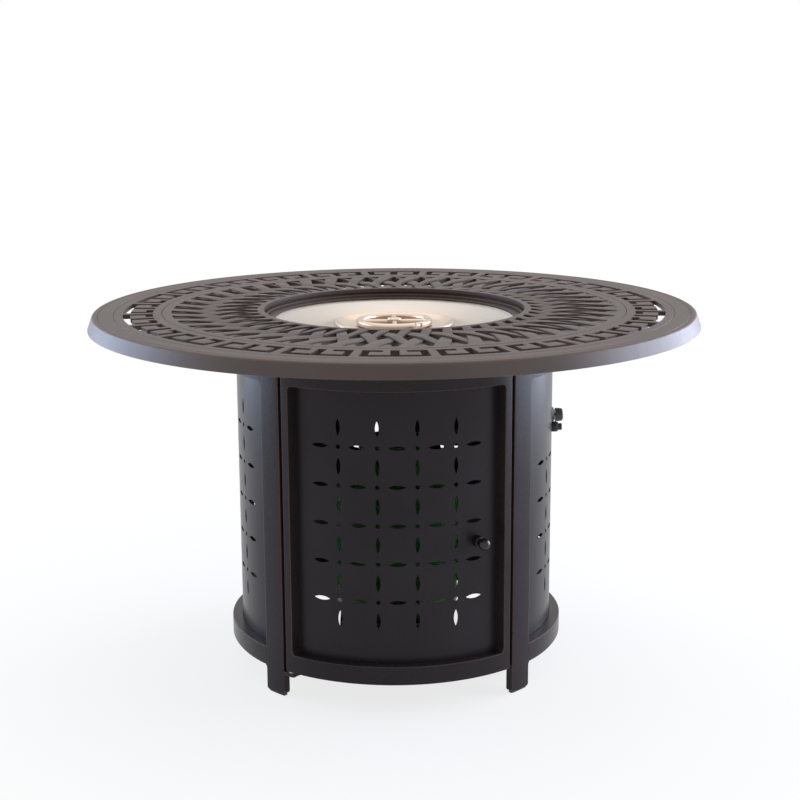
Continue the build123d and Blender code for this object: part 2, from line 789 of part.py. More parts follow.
lower_bracket_z = bracket_top - bracket_thickness
upper_bracket_top = upper_bracket_z + bracket_thickness
nodes["pivot_bracket_lower"] = pivot_bracket(lower_bracket_z)
nodes["pivot_bracket_upper"] = pivot_bracket(upper_bracket_z)
lower_pin = pivot_pin(lower_bracket_z, bottom_rail_z + pivot_engagement, lower_bracket_z - pin_head_height)
upper_pin = pivot_pin(door_top_z - pivot_engagement, upper_bracket_top, upper_bracket_top)
nodes["pivot_pins"] = Compound(children=[lower_pin, upper_pin])
nodes["pivot_washer"] = rod(pivot_plane, washer_radius, bracket_top, bottom_rail_z) - rod(
    pivot_plane, pivot_pin_radius + button_gap, bracket_top - cut_margin, bottom_rail_z + cut_margin)

# Door panel, knob and catch
knob_plane = radial_plane(rail_radius, door_knob_angle, door_knob_z)
door_panel = bay_sector(panel_inner, rail_radius, panel_bottom_z, door_top_z - door_panel_inset,
                        door_edge + door_panel_inset)
door_panel = door_panel.cut(*screw_holes).cut(*full_pattern)
nodes["door_panel"] = door_panel - rod(knob_plane, door_knob_stem + screw_clearance, -cut_margin, cut_margin)
ball = knob_plane * Pos(0, 0, door_knob_reach) * Sphere(door_knob_radius)
nodes["door_knob"] = ball + rod(knob_plane, door_knob_stem, -panel_sheet - door_knob_tail, door_knob_reach)
knob_collar = rod(knob_plane, collar_radius, panel_seat, collar_length)
for rib in range(collar_ribs):
    rib_spot = knob_plane.location * Rot(0, 0, rib * full_turn / collar_ribs) * Pos(collar_radius, 0, 0)
    knob_collar += rod(Plane(rib_spot), collar_rib_radius, panel_seat, collar_length)
nodes["door_knob_collar"] = knob_collar - rod(knob_plane, door_knob_stem + screw_clearance, -cut_margin,
                                              collar_length + cut_margin)


def beside_right_leg(offset, radius):
    """Angle from the front of a point beside the right front leg, offset towards the door."""
    return leg_angle - math.degrees(math.asin(offset / radius))


strike_back = panel_inner - panel_seat
strike_radius = strike_back - strike_sheet
catch_face = strike_radius - catch_air_gap
catch_top = catch_z + catch_height
nodes["door_strike"] = sector(strike_radius, strike_back, beside_right_leg(strike_end, panel_inner),
                              beside_right_leg(strike_start + door_panel_inset, panel_inner),
                              catch_z, catch_top)
catch_body = sector(catch_face - catch_depth, catch_face, beside_right_leg(strike_end, catch_face),
                    beside_right_leg(catch_start, catch_face), catch_z, catch_top)
catch_foot = sector(catch_face - catch_depth / 2, leg_inner, beside_right_leg(catch_riser_end, leg_inner),
                    beside_right_leg(catch_start, leg_inner), catch_z, catch_top)
nodes["magnet_catch"] = catch_body + catch_foot


# Control valve and igniter on the right hand panel
def panel_dip(half_width):
    """How far the curved panel falls away from a flat face of this half width, with a little room."""
    return panel_inner - math.sqrt(panel_inner ** 2 - half_width ** 2) + panel_seat


control_plane = radial_plane(rail_radius, control_angle, control_z)
igniter_plane = radial_plane(rail_radius, igniter_angle, igniter_z)
right_pattern = [turned(tool, bay_turns["right"]) for tool in pattern_tools(pattern_rows - 1, False)]
right_panel = turned(blank_panel, bay_turns["right"]).cut(*right_pattern)
right_panel -= rod(control_plane, bezel_boss_radius + panel_hole_gap, -cut_margin, cut_margin)
right_panel -= rod(igniter_plane, igniter_barrel_radius + panel_hole_gap, -cut_margin, cut_margin)
nodes["panel_right"] = right_panel

valve_front = -panel_sheet - panel_dip(valve_width / 2)
valve_back = valve_front - valve_depth
plunger_front = valve_front - stem_reach
plunger_back = plunger_front - plunger_length
chamber_front = plunger_front + control_push
chamber_back = plunger_back - control_push - 1
valve = extrude(control_plane.offset(valve_back) * Rectangle(valve_width, valve_height), amount=valve_depth)
valve -= rod(control_plane, stem_radius + stem_gap, plunger_back, cut_margin)
valve -= rod(control_plane, plunger_radius + stem_gap, chamber_back, chamber_front)
valve_middle = rail_radius + (valve_front + valve_back) / 2
hose_plane = Plane(origin=at(valve_middle, control_angle, control_z - valve_height / 2), z_dir=(0, 0, -1))
valve += rod(hose_plane, hose_barb_radius, 0, hose_barb_length)
nodes["valve_body"] = valve
nodes["valve_plunger"] = rod(control_plane, plunger_radius, plunger_back, plunger_front)
knob_start = bezel_length + control_push + knob_back_gap
knob_end = knob_start + control_knob_length
nodes["valve_stem"] = rod(control_plane, stem_radius, plunger_front, knob_start + stem_seat)
bezel = rod(control_plane, bezel_radius, panel_seat, bezel_length) + rod(
    control_plane, bezel_boss_radius, valve_front + panel_seat, bezel_length)
nodes["knob_bezel"] = bezel - rod(control_plane, stem_radius + stem_gap, valve_front - cut_margin,
                                  bezel_length + cut_margin)
knob = rod(control_plane, control_knob_radius, knob_start, knob_end)
knob = chamfer(knob.edges().filter_by(GeomType.CIRCLE), control_knob_chamfer)
pointer = extrude(control_plane.offset(knob_end - pointer_depth) * Pos(0, control_knob_radius / 2) *
                  Rectangle(pointer_width, control_knob_radius), amount=2 * pointer_depth)
knob -= pointer
nodes["control_knob"] = knob - rod(control_plane, stem_radius + pin_seat_gap, knob_start - cut_margin,
                                   knob_start + stem_seat + pin_seat_gap)

igniter = rod(igniter_plane, igniter_flange_radius, panel_seat, igniter_flange_length)
igniter += rod(igniter_plane, igniter_barrel_radius, -igniter_barrel_length, panel_seat)
button_back = button_travel + button_guard - igniter_barrel_length
igniter -= rod(igniter_plane, button_radius + button_gap, button_back - button_travel - 1,
               igniter_flange_length + cut_margin)
nodes["igniter_housing"] = igniter
nodes["igniter_button"] = rod(igniter_plane, button_radius, button_back, button_stand_out)
nut_front = -panel_sheet - panel_dip(igniter_nut_across / math.sqrt(3))
igniter_nut = hex_bar(igniter_plane, igniter_nut_across, nut_front - igniter_nut_length, nut_front)
nodes["igniter_nut"] = igniter_nut - rod(igniter_plane, igniter_barrel_radius + screw_clearance,
                                         -igniter_barrel_length, cut_margin)

# Rigid supply tube from the valve up and across to the orifice fitting
tube_z = orifice_z - tube_drop
quarter = tube_bend * (1 - math.sqrt(0.5))
tube_path = [line_edge(at(0, 0, orifice_z), at(0, 0, tube_z + tube_bend))]
tube_path.append(Edge.make_three_point_arc(at(0, 0, tube_z + tube_bend),
                                           at(quarter, control_angle, tube_z + quarter),
                                           at(tube_bend, control_angle, tube_z)))
tube_path.append(line_edge(at(tube_bend, control_angle, tube_z),
                           at(valve_middle - tube_bend, control_angle, tube_z)))
tube_path.append(Edge.make_three_point_arc(at(valve_middle - tube_bend, control_angle, tube_z),
                                           at(valve_middle - quarter, control_angle, tube_z - quarter),
                                           at(valve_middle, control_angle, tube_z - tube_bend)))
tube_path.append(line_edge(at(valve_middle, control_angle, tube_z - tube_bend),
                           at(valve_middle, control_angle, control_z + valve_height / 2)))
tube_section = Plane(origin=at(0, 0, orifice_z), z_dir=(0, 0, -1)) * Circle(tube_radius)
nodes["supply_tube"] = sweep(tube_section, path=Wire(tube_path))


# Gas cylinder on the base plate
def vessel(radius, top_dome, bottom_dome):
    """Solid with an upright wall and a dome at each end."""
    bottom = EllipticalCenterArc((0, cylinder_heel_z), radius, bottom_dome, start_angle=270, arc_size=90)
    side = Line((radius, cylinder_heel_z), (radius, cylinder_shoulder_z))
    top = EllipticalCenterArc((0, cylinder_shoulder_z), radius, top_dome, start_angle=0, arc_size=90)
    middle = Line(top @ 1, bottom @ 0)
    return revolve(Plane.XZ * make_face([bottom, side, top, middle]), Axis.Z)


def dome_share(radius):
    return math.sqrt(1 - (radius / cylinder_radius) ** 2)


dome_top = cylinder_shoulder_z + cylinder_top_dome
hollow = vessel(cylinder_radius - cylinder_wall, cylinder_top_dome - cylinder_wall,
                cylinder_bottom_dome - cylinder_wall)
hollow += upright(neck_bore, cylinder_shoulder_z, dome_top + cut_margin)
nodes["cylinder_body"] = vessel(cylinder_radius, cylinder_top_dome, cylinder_bottom_dome) - hollow
foot_inner = foot_ring_radius - foot_ring_sheet
foot_top = cylinder_heel_z - cylinder_bottom_dome * dome_share(foot_inner) - panel_seat
nodes["cylinder_foot_ring"] = ring(foot_inner, foot_ring_radius, bottom_rail_z, foot_top)
guard_inner = guard_radius - guard_sheet
guard_z = cylinder_shoulder_z + cylinder_top_dome * dome_share(guard_inner) + panel_seat
guard_top = guard_z + guard_height
window_low = guard_z + guard_height / 2
guard = ring(guard_inner, guard_radius, guard_z, guard_top)
for window_turn in (0.0, 180.0):
    guard -= sector(guard_inner - cut_margin, guard_radius + cut_margin, window_turn - guard_window_angle / 2,
                    window_turn + guard_window_angle / 2, window_low, window_low + guard_window_height)
guard -= sector(guard_inner - cut_margin, guard_radius + cut_margin, 90 - guard_outlet_angle / 2,
                90 + guard_outlet_angle / 2, guard_z + neck_height, guard_top + cut_margin)
nodes["cylinder_collar"] = guard
gas_valve_top = dome_top + gas_valve_height
gas_valve = upright(neck_radius, dome_top, dome_top + neck_height)
gas_valve += upright(gas_valve_radius, dome_top, gas_valve_top)
outlet_plane = radial_plane(0, 90, dome_top + gas_valve_height / 2)
gas_valve += rod(outlet_plane, gas_outlet_radius, 0, gas_outlet_length)
gas_valve += upright(wheel_spindle_radius, gas_valve_top, gas_valve_top + wheel_spindle_height)
gas_valve += upright(neck_bore - neck_plug_gap, dome_top - neck_plug_depth, dome_top)
nodes["cylinder_valve"] = gas_valve
wheel_z = gas_valve_top + wheel_lift
wheel = upright(wheel_radius, wheel_z, wheel_z + wheel_height)
lobe = upright(wheel_lobe_radius, wheel_z - cut_margin, wheel_z + wheel_height + cut_margin)
lobes = [Pos(at(wheel_radius + wheel_lobe_radius / 2, index * full_turn / wheel_lobes, 0)) * lobe
         for index in range(wheel_lobes)]
wheel = wheel.cut(*lobes)
nodes["cylinder_handwheel"] = wheel - upright(wheel_spindle_radius + wheel_gap, wheel_z - cut_margin,
                                              gas_valve_top + wheel_spindle_height + wheel_gap)

os.makedirs("parts", exist_ok=True)
for node, shape in nodes.items():
    export_step(shape, "parts/" + node + ".step")
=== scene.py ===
import math

import bmesh
import bpy
from mathutils import Matrix, Vector


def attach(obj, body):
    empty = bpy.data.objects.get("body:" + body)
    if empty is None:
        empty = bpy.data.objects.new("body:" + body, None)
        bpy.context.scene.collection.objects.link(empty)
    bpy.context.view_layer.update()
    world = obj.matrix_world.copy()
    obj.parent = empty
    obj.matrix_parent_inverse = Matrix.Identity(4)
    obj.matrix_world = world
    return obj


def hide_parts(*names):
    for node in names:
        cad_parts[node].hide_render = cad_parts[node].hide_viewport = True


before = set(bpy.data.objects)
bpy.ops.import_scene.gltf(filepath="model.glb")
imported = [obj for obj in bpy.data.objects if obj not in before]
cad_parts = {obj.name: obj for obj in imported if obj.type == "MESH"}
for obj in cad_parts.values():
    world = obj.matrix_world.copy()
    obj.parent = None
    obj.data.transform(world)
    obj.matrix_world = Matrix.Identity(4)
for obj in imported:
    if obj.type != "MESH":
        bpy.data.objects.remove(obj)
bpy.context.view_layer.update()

bl_info = {
    "name": "Fire pit table finishes",
    "version": (1, 0, 0),
    "blender": (4, 5, 0),
    "location": "3D View > Sidebar > Fire Pit",
    "description": "Makes the castings, cabinet, burner, controls and stage of a round gas fire pit table",
    "category": "Object",
}

MM = 0.001

# Levels and radii in the shared frame, in metres, as the solids have them
TABLE_TOP = 728 * MM
EDGE_LEVEL = 726 * MM
PLATE_UNDER = 719 * MM
COLLAR_GROOVE_UNDER = 716 * MM
COLLAR_UNDER = 708 * MM
LEDGE_TOP = COLLAR_UNDER + 2.5 * MM
PAN_UNDER = 706 * MM
SKIRT_UNDER = 701 * MM
BURNER_LEVEL = 698 * MM
CYLINDER_SEAM = 225 * MM
CHAMFER_START = 598 * MM
CHAMFER_END = 601 * MM
JOINT_RADIUS = 464 * MM
JOINT_GAP = 0.5 * MM
LATTICE_OUTER = 445 * MM
LATTICE_INNER = 275 * MM
COLLAR_OUTER = 280 * MM
COLLAR_GROOVE_RADIUS = 266 * MM
BOWL_RADIUS = 262 * MM
PAN_SCREW_RADIUS = 261 * MM
COLLAR_INNER = 256 * MM
LEDGE_OUTER = COLLAR_INNER - 0.3 * MM
LEDGE_INNER = COLLAR_INNER - 16 * MM
RAIL_RADIUS = 320 * MM
PANEL_INNER = 318.5 * MM
CYLINDER_RADIUS = 128 * MM
BURNER_RADIUS = 70 * MM

# Rim casting: radii of its step, key, fine grooves and skirt, and the key's arcs on its middle circle
STEP_RADII = (450 * MM, JOINT_RADIUS + JOINT_GAP / 2, 476 * MM)
KEY_INNER = 482 * MM
KEY_OUTER = 540 * MM
KEY_MIDDLE = (KEY_INNER + KEY_OUTER) / 2
KEY_SLOT = 14 * MM
KEY_STEM = 8 * MM
KEY_HALF = 59 * MM
FINE_GROOVES = (558 * MM, 589 * MM)
FINE_GROOVE_HALF = 0.8 * MM
FINE_GROOVE_DEPTH = 1.0 * MM
SKIRT_INSIDE = ((594 * MM, PLATE_UNDER), (604 * MM, SKIRT_UNDER))
SKIRT_OUTSIDE = ((CHAMFER_END, EDGE_LEVEL), (610 * MM, SKIRT_UNDER))

# Lattice strips: rows of crossings, first crossing and rise as shares of the log radius, small offsets
CROSSING_ROWS = 3
FIRST_CROSSING = 0.175
CROSSING_RISE = 0.79
STRIP_TUCK = 5 * MM
UNDER_SHIFT = 0.4 * MM
STRIP_SHY = 0.25 * MM

# Screws, with their angles in degrees from the middle of each side
RAIL_SCREW_LEVELS = (73.5 * MM, 641.5 * MM)
RAIL_SCREW_ANGLES = (-30.0, 0.0, 30.0)
PAN_SCREWS = 8

# Grip and weld texture
KNOB_FLUTE_DEPTH = 0.45 * MM
COLLAR_FLUTE_DEPTH = 0.9 * MM
COLLAR_FLUTES = 16
WELD_RIPPLE = 0.18 * MM
WELD_RIPPLES = 120

# Angle from the front, in degrees, and level of what stands on the cabinet's wall
DOOR_KNOB = (27.93, 323 * MM)
CONTROL_KNOB = (93.0, 498 * MM)
IGNITER = (85.5, 483 * MM)

# Colour sockets of a Mix node: its two inputs and its output
MIX_FIRST = 6
MIX_SECOND = 7
MIX_COLOUR = 2

# Camera: place in metres, turn, tilt and roll in radians, lens and sensor in mm
CAMERA_PLACE = (-0.0399, -3.1374, 1.2190)
CAMERA_TURN = -0.0161
CAMERA_TILT = -0.2145
CAMERA_ROLL = -0.0054
CAMERA_LENS = 70.7
CAMERA_SENSOR = 36.0


def linear(code):
    """Linear colour of an sRGB hex code."""
    parts = [int(code[place:place + 2], 16) / 255 for place in (1, 3, 5)]
    return tuple(part / 12.92 if part <= 0.04045 else ((part + 0.055) / 1.055) ** 2.4 for part in parts)


def shade(colour, gain):
    """The same colour, lighter or darker, as a node socket takes it."""
    return tuple(min(1.0, part * gain) for part in colour) + (1.0,)


def in_metres(outline):
    """Outline points given in mm, turned to metres."""
    return [(radius * MM, height * MM) for radius, height in outline]


def around(radius, turn, height=0.0):
    """Spot at a distance from the middle axis, turned from the front towards the right."""
    return Vector((radius * math.sin(turn), -radius * math.cos(turn), height))


def arc(middle, radius, start, end, steps):
    """Points along an arc between two angles in degrees."""
    bends = [math.radians(start + (end - start) * step / steps) for step in range(steps + 1)]
    return [(middle[0] + radius * math.cos(bend), middle[1] + radius * math.sin(bend)) for bend in bends]


class CastTopSizes(bpy.types.PropertyGroup):
    edge_round: bpy.props.FloatProperty(
        name="Edge round", description="Rounding of the cast edges",
        default=1.3 * MM, min=0.2 * MM, unit="LENGTH")
    strips: bpy.props.IntProperty(
        name="Strips", description="Spiral strips in each direction of the lattice",
        default=44, min=8)
    strip_share: bpy.props.FloatProperty(
        name="Strip share", description="Strip width as a share of pitch",
        default=0.46, min=0.1, max=0.6, subtype="FACTOR")
    weave_dip: bpy.props.FloatProperty(
        name="Weave dip", description="How far a strip dives under another",
        default=3.6 * MM, min=0.0, unit="LENGTH")
    pattern_turn: bpy.props.FloatProperty(
        name="Pattern turn", description="Turn of the key and lattice",
        default=math.radians(-0.65), subtype="ANGLE")
    motifs: bpy.props.IntProperty(
        name="Key motifs", description="Greek key motifs around the rim",
        default=24, min=6)
    tint: bpy.props.FloatVectorProperty(
        name="Top colour", description="Bronze powder coat of the cast top",
        default=linear("#50443f"), size=3, min=0, max=1, subtype="COLOR")


class CabinetSizes(bpy.types.PropertyGroup):
    edge_round: bpy.props.FloatProperty(
        name="Edge round", description="Rounding of legs, rails and door",
        default=1.6 * MM, min=0.2 * MM, unit="LENGTH")
    frame_tint: bpy.props.FloatVectorProperty(
        name="Frame colour", description="Bronze powder coat of the frame",
        default=linear("#2d2829"), size=3, min=0, max=1, subtype="COLOR")
    panel_tint: bpy.props.FloatVectorProperty(
        name="Panel colour", description="Bronze powder coat of the sheets",
        default=linear("#2c282a"), size=3, min=0, max=1, subtype="COLOR")
    # Copper shown on every rounded edge: partly rubbed-back glaze, partly a painted highlight along the edges
    edge_copper_and_highlight_tint: bpy.props.FloatVectorProperty(
        name="Edge colour", description="Copper that shows at rubbed edges",
        default=linear("#664d43"), size=3, min=0, max=1, subtype="COLOR")


class BurnerSizes(bpy.types.PropertyGroup):
    pan_round: bpy.props.FloatProperty(
        name="Pan round", description="Rounding of the pressed pan's bends",
        default=14 * MM, min=1 * MM, unit="LENGTH")
    tube_radius: bpy.props.FloatProperty(
        name="Tube radius", description="Radius of the ring burner's tube",
        default=7 * MM, min=2 * MM, unit="LENGTH")
    ports: bpy.props.IntProperty(name="Ports", description="Gas ports around the ring", default=24, min=4)
    steel_tint: bpy.props.FloatVectorProperty(
        name="Steel colour", description="Brushed stainless steel",
        default=linear("#c9c4be"), size=3, min=0, max=1, subtype="COLOR")


class ControlSizes(bpy.types.PropertyGroup):
    flutes: bpy.props.IntProperty(
        name="Flutes", description="Grip flutes around the control knob",
        default=24, min=6)
    knob_tint: bpy.props.FloatVectorProperty(
        name="Control knob colour", description="Satin bronze of the control knob",
        default=linear("#4a423e"), size=3, min=0, max=1, subtype="COLOR")
    grip_tint: bpy.props.FloatVectorProperty(
        name="Door knob colour", description="Polished dark bronze of the door knob",
        default=linear("#2b2625"), size=3, min=0, max=1, subtype="COLOR")
    black_tint: bpy.props.FloatVectorProperty(
        name="Black colour", description="Moulded black plastic",
        default=linear("#1d1c1c"), size=3, min=0, max=1, subtype="COLOR")


class CylinderSizes(bpy.types.PropertyGroup):
    seam_bead: bpy.props.FloatProperty(
        name="Seam bead", description="Half width of the cylinder's weld",
        default=3 * MM, min=0.5 * MM, unit="LENGTH")
    paint_tint: bpy.props.FloatVectorProperty(
        name="Paint colour", description="Green enamel of the gas cylinder",
        default=linear("#3f8f33"), size=3, min=0, max=1, subtype="COLOR")


class StageSizes(bpy.types.PropertyGroup):
    floor_tint: bpy.props.FloatVectorProperty(
        name="Floor colour", description="Pale studio floor",
        default=linear("#f4f3f2"), size=3, min=0, max=1, subtype="COLOR")
    floor_half: bpy.props.FloatProperty(
        name="Floor half width", description="Half the width of the floor",
        default=30.0, min=2.0, unit="LENGTH")


def put(tree, kind, inputs=None, **settings):
    """Adds a node, sets its properties and fills its inputs with values or links."""
    node = tree.nodes.new(kind)
    for name, value in settings.items():
        setattr(node, name, value)
    for name, value in (inputs or {}).items():
        if isinstance(value, bpy.types.NodeSocket):
            tree.links.new(value, node.inputs[name])
        else:
            node.inputs[name].default_value = value
    return node


def fresh_material(name):
    """Empty node material, its tree and the place on the object."""
    material = bpy.data.materials.new(name)
    material.use_nodes = True
    tree = material.node_tree
    tree.nodes.clear()
    return material, tree, put(tree, "ShaderNodeTexCoord").outputs["Object"]


def powder_coat(name, tint, roughness, metal, sheen, grain, edge_sheen=None):
    """Bronze powder coat, sprayed and baked: a satin skin with fine orange peel, small metal flecks,
    broad slow tone changes, and copper edges: partly the dark glaze rubbed back, partly a painted highlight.
    On the cast top it is glossier on the outer edge, which is turned smooth before coating."""
    material, tree, place = fresh_material(name)
    broad = put(tree, "ShaderNodeTexNoise", {"Vector": place, "Scale": 1 / (160 * MM), "Detail": 3.0})
    # Flecks are really about 0.1 mm, drawn at 2 mm so that they show
    flecks = put(tree, "ShaderNodeTexVoronoi", {"Vector": place, "Scale": 1 / (2 * MM)})
    peel = put(tree, "ShaderNodeTexNoise", {"Vector": place, "Scale": 1 / grain, "Detail": 2.0})
    tone = put(tree, "ShaderNodeMapRange", {"Value": broad.outputs["Fac"], "From Min": 0.3, "From Max": 0.7})
    body = put(tree, "ShaderNodeMix", {
        "Factor": tone.outputs["Result"], MIX_FIRST: shade(tint, 0.88), MIX_SECOND: shade(tint, 1.12)},
        data_type="RGBA")
    spark = put(tree, "ShaderNodeMapRange", {
        "Value": flecks.outputs["Distance"], "From Min": 0.18, "From Max": 0.05, "To Max": 0.14})
    flecked = put(tree, "ShaderNodeMix", {
        "Factor": spark.outputs["Result"], MIX_FIRST: body.outputs[MIX_COLOUR], MIX_SECOND: shade(tint, 1.9)},
        data_type="RGBA")
    # Copper on the rounded faces: partly rubbed wear, partly a painted highlight that the edges would catch
    rub_and_highlight = put(tree, "ShaderNodeAttribute", attribute_name="rub_and_highlight")
    worn = put(tree, "ShaderNodeMath", {0: rub_and_highlight.outputs["Fac"], 1: broad.outputs["Fac"]}, operation="MULTIPLY")
    copper_and_highlight = bpy.context.scene.firepit_cabinet.edge_copper_and_highlight_tint
    coat = put(tree, "ShaderNodeMix", {
        "Factor": worn.outputs["Value"], MIX_FIRST: flecked.outputs[MIX_COLOUR],
        MIX_SECOND: shade(copper_and_highlight, 1.0)},
        data_type="RGBA")
    gloss = put(tree, "ShaderNodeMapRange", {
        "Value": peel.outputs["Fac"], "From Min": 0.25, "From Max": 0.75,
        "To Min": roughness - 0.05, "To Max": roughness + 0.07})
    bump = put(tree, "ShaderNodeBump", {
        "Height": peel.outputs["Fac"], "Strength": 0.05, "Distance": 0.4 * MM})
    shine = sheen
    if edge_sheen is not None:
        flat = put(tree, "ShaderNodeVectorMath", {0: place, 1: (1.0, 1.0, 0.0)}, operation="MULTIPLY")
        radius = put(tree, "ShaderNodeVectorMath", {0: flat.outputs["Vector"]}, operation="LENGTH")
        shine = put(tree, "ShaderNodeMapRange", {
            "Value": radius.outputs["Value"], "From Min": CHAMFER_START - MM, "From Max": CHAMFER_END,
            "To Min": sheen, "To Max": edge_sheen}).outputs["Result"]
    shader = put(tree, "ShaderNodeBsdfPrincipled", {
        "Base Color": coat.outputs[MIX_COLOUR], "Roughness": gloss.outputs["Result"],
        "Normal": bump.outputs["Normal"], "Metallic": metal, "Specular IOR Level": shine})
    put(tree, "ShaderNodeOutputMaterial", {"Surface": shader.outputs["BSDF"]})
    return material


def brushed_steel(name, tint):
    """Spun stainless steel: bright, with fine brush lines that run round the middle axis,
    slightly uneven roughness and a faint straw heat tint near the middle."""
    material, tree, place = fresh_material(name)
    parts = put(tree, "ShaderNodeSeparateXYZ", {"Vector": place})
    flat = put(tree, "ShaderNodeCombineXYZ", {"X": parts.outputs["X"], "Y": parts.outputs["Y"]})
    radius = put(tree, "ShaderNodeVectorMath", {0: flat.outputs["Vector"]}, operation="LENGTH")
    spun = put(tree, "ShaderNodeCombineXYZ", {"X": radius.outputs["Value"], "Y": parts.outputs["Z"]})
    # Brush lines are really about 0.2 mm apart, drawn at 1.5 mm so that they show
    lines = put(tree, "ShaderNodeTexNoise", {
        "Vector": spun.outputs["Vector"], "Scale": 1 / (1.5 * MM), "Detail": 3.0})
    cloud = put(tree, "ShaderNodeTexNoise", {"Vector": place, "Scale": 1 / (90 * MM), "Detail": 2.0})
    heat = put(tree, "ShaderNodeMapRange", {
        "Value": radius.outputs["Value"], "From Min": 230 * MM, "From Max": 90 * MM, "To Max": 0.35})
    body = put(tree, "ShaderNodeMix", {
        "Factor": lines.outputs["Fac"], MIX_FIRST: shade(tint, 0.86), MIX_SECOND: shade(tint, 1.1)},
        data_type="RGBA")
    straw = put(tree, "ShaderNodeMix", {
        "Factor": heat.outputs["Result"], MIX_FIRST: body.outputs[MIX_COLOUR],
        MIX_SECOND: shade(linear("#c79a6c"), 1.0)}, data_type="RGBA")
    rough = put(tree, "ShaderNodeMapRange", {"Value": cloud.outputs["Fac"], "To Min": 0.24, "To Max": 0.38})
    bump = put(tree, "ShaderNodeBump", {
        "Height": lines.outputs["Fac"], "Strength": 0.15, "Distance": 0.2 * MM})
    shader = put(tree, "ShaderNodeBsdfPrincipled", {
        "Base Color": straw.outputs[MIX_COLOUR], "Roughness": rough.outputs["Result"],
        "Normal": bump.outputs["Normal"], "Metallic": 1.0})
    put(tree, "ShaderNodeOutputMaterial", {"Surface": shader.outputs["BSDF"]})
    return material


def cast_metal(name, dark, light, roughness, grain):
    """Plated or die-cast small metal parts: an even metal with a mottled skin and duller patches."""
    material, tree, place = fresh_material(name)
    mottle = put(tree, "ShaderNodeTexNoise", {"Vector": place, "Scale": 1 / grain, "Detail": 4.0})
    tone = put(tree, "ShaderNodeMix", {
        "Factor": mottle.outputs["Fac"], MIX_FIRST: shade(linear(dark), 1.0),
        MIX_SECOND: shade(linear(light), 1.0)}, data_type="RGBA")
    rough = put(tree, "ShaderNodeMapRange", {
        "Value": mottle.outputs["Fac"], "To Min": roughness + 0.1, "To Max": roughness - 0.1})
    bump = put(tree, "ShaderNodeBump", {
        "Height": mottle.outputs["Fac"], "Strength": 0.1, "Distance": 0.2 * MM})
    shader = put(tree, "ShaderNodeBsdfPrincipled", {
        "Base Color": tone.outputs[MIX_COLOUR], "Roughness": rough.outputs["Result"],
        "Normal": bump.outputs["Normal"], "Metallic": 1.0})
    put(tree, "ShaderNodeOutputMaterial", {"Surface": shader.outputs["BSDF"]})
    return material


def moulded_plastic(name, tint):
    """Black ABS from a lightly sparked mould: satin, with a fine even grain and a greyish bloom."""
    material, tree, place = fresh_material(name)
    grain = put(tree, "ShaderNodeTexNoise", {"Vector": place, "Scale": 1 / (0.8 * MM), "Detail": 2.0})
    bloom = put(tree, "ShaderNodeTexNoise", {"Vector": place, "Scale": 1 / (14 * MM), "Detail": 2.0})
    tone = put(tree, "ShaderNodeMix", {
        "Factor": bloom.outputs["Fac"], MIX_FIRST: shade(tint, 0.8), MIX_SECOND: shade(tint, 1.5)},
        data_type="RGBA")
    rough = put(tree, "ShaderNodeMapRange", {"Value": grain.outputs["Fac"], "To Min": 0.36, "To Max": 0.52})
    bump = put(tree, "ShaderNodeBump", {
        "Height": grain.outputs["Fac"], "Strength": 0.12, "Distance": 0.1 * MM})
    shader = put(tree, "ShaderNodeBsdfPrincipled", {
        "Base Color": tone.outputs[MIX_COLOUR], "Roughness": rough.outputs["Result"],
        "Normal": bump.outputs["Normal"]})
    put(tree, "ShaderNodeOutputMaterial", {"Surface": shader.outputs["BSDF"]})
    return material


def glazed_ceramic(name):
    """Glazed steatite insulator: off-white and glossy, with small tan firing specks."""
    material, tree, place = fresh_material(name)
    specks = put(tree, "ShaderNodeTexNoise", {"Vector": place, "Scale": 1 / (1.2 * MM), "Detail": 3.0})
    spot = put(tree, "ShaderNodeMapRange", {
        "Value": specks.outputs["Fac"], "From Min": 0.62, "From Max": 0.7})
    tone = put(tree, "ShaderNodeMix", {
        "Factor": spot.outputs["Result"], MIX_FIRST: shade(linear("#e9e4d8"), 1.0),
        MIX_SECOND: shade(linear("#b79f7c"), 1.0)}, data_type="RGBA")
    rough = put(tree, "ShaderNodeMapRange", {"Value": specks.outputs["Fac"], "To Min": 0.12, "To Max": 0.25})
    shader = put(tree, "ShaderNodeBsdfPrincipled", {
        "Base Color": tone.outputs[MIX_COLOUR], "Roughness": rough.outputs["Result"]})
    put(tree, "ShaderNodeOutputMaterial", {"Surface": shader.outputs["BSDF"]})
    return material


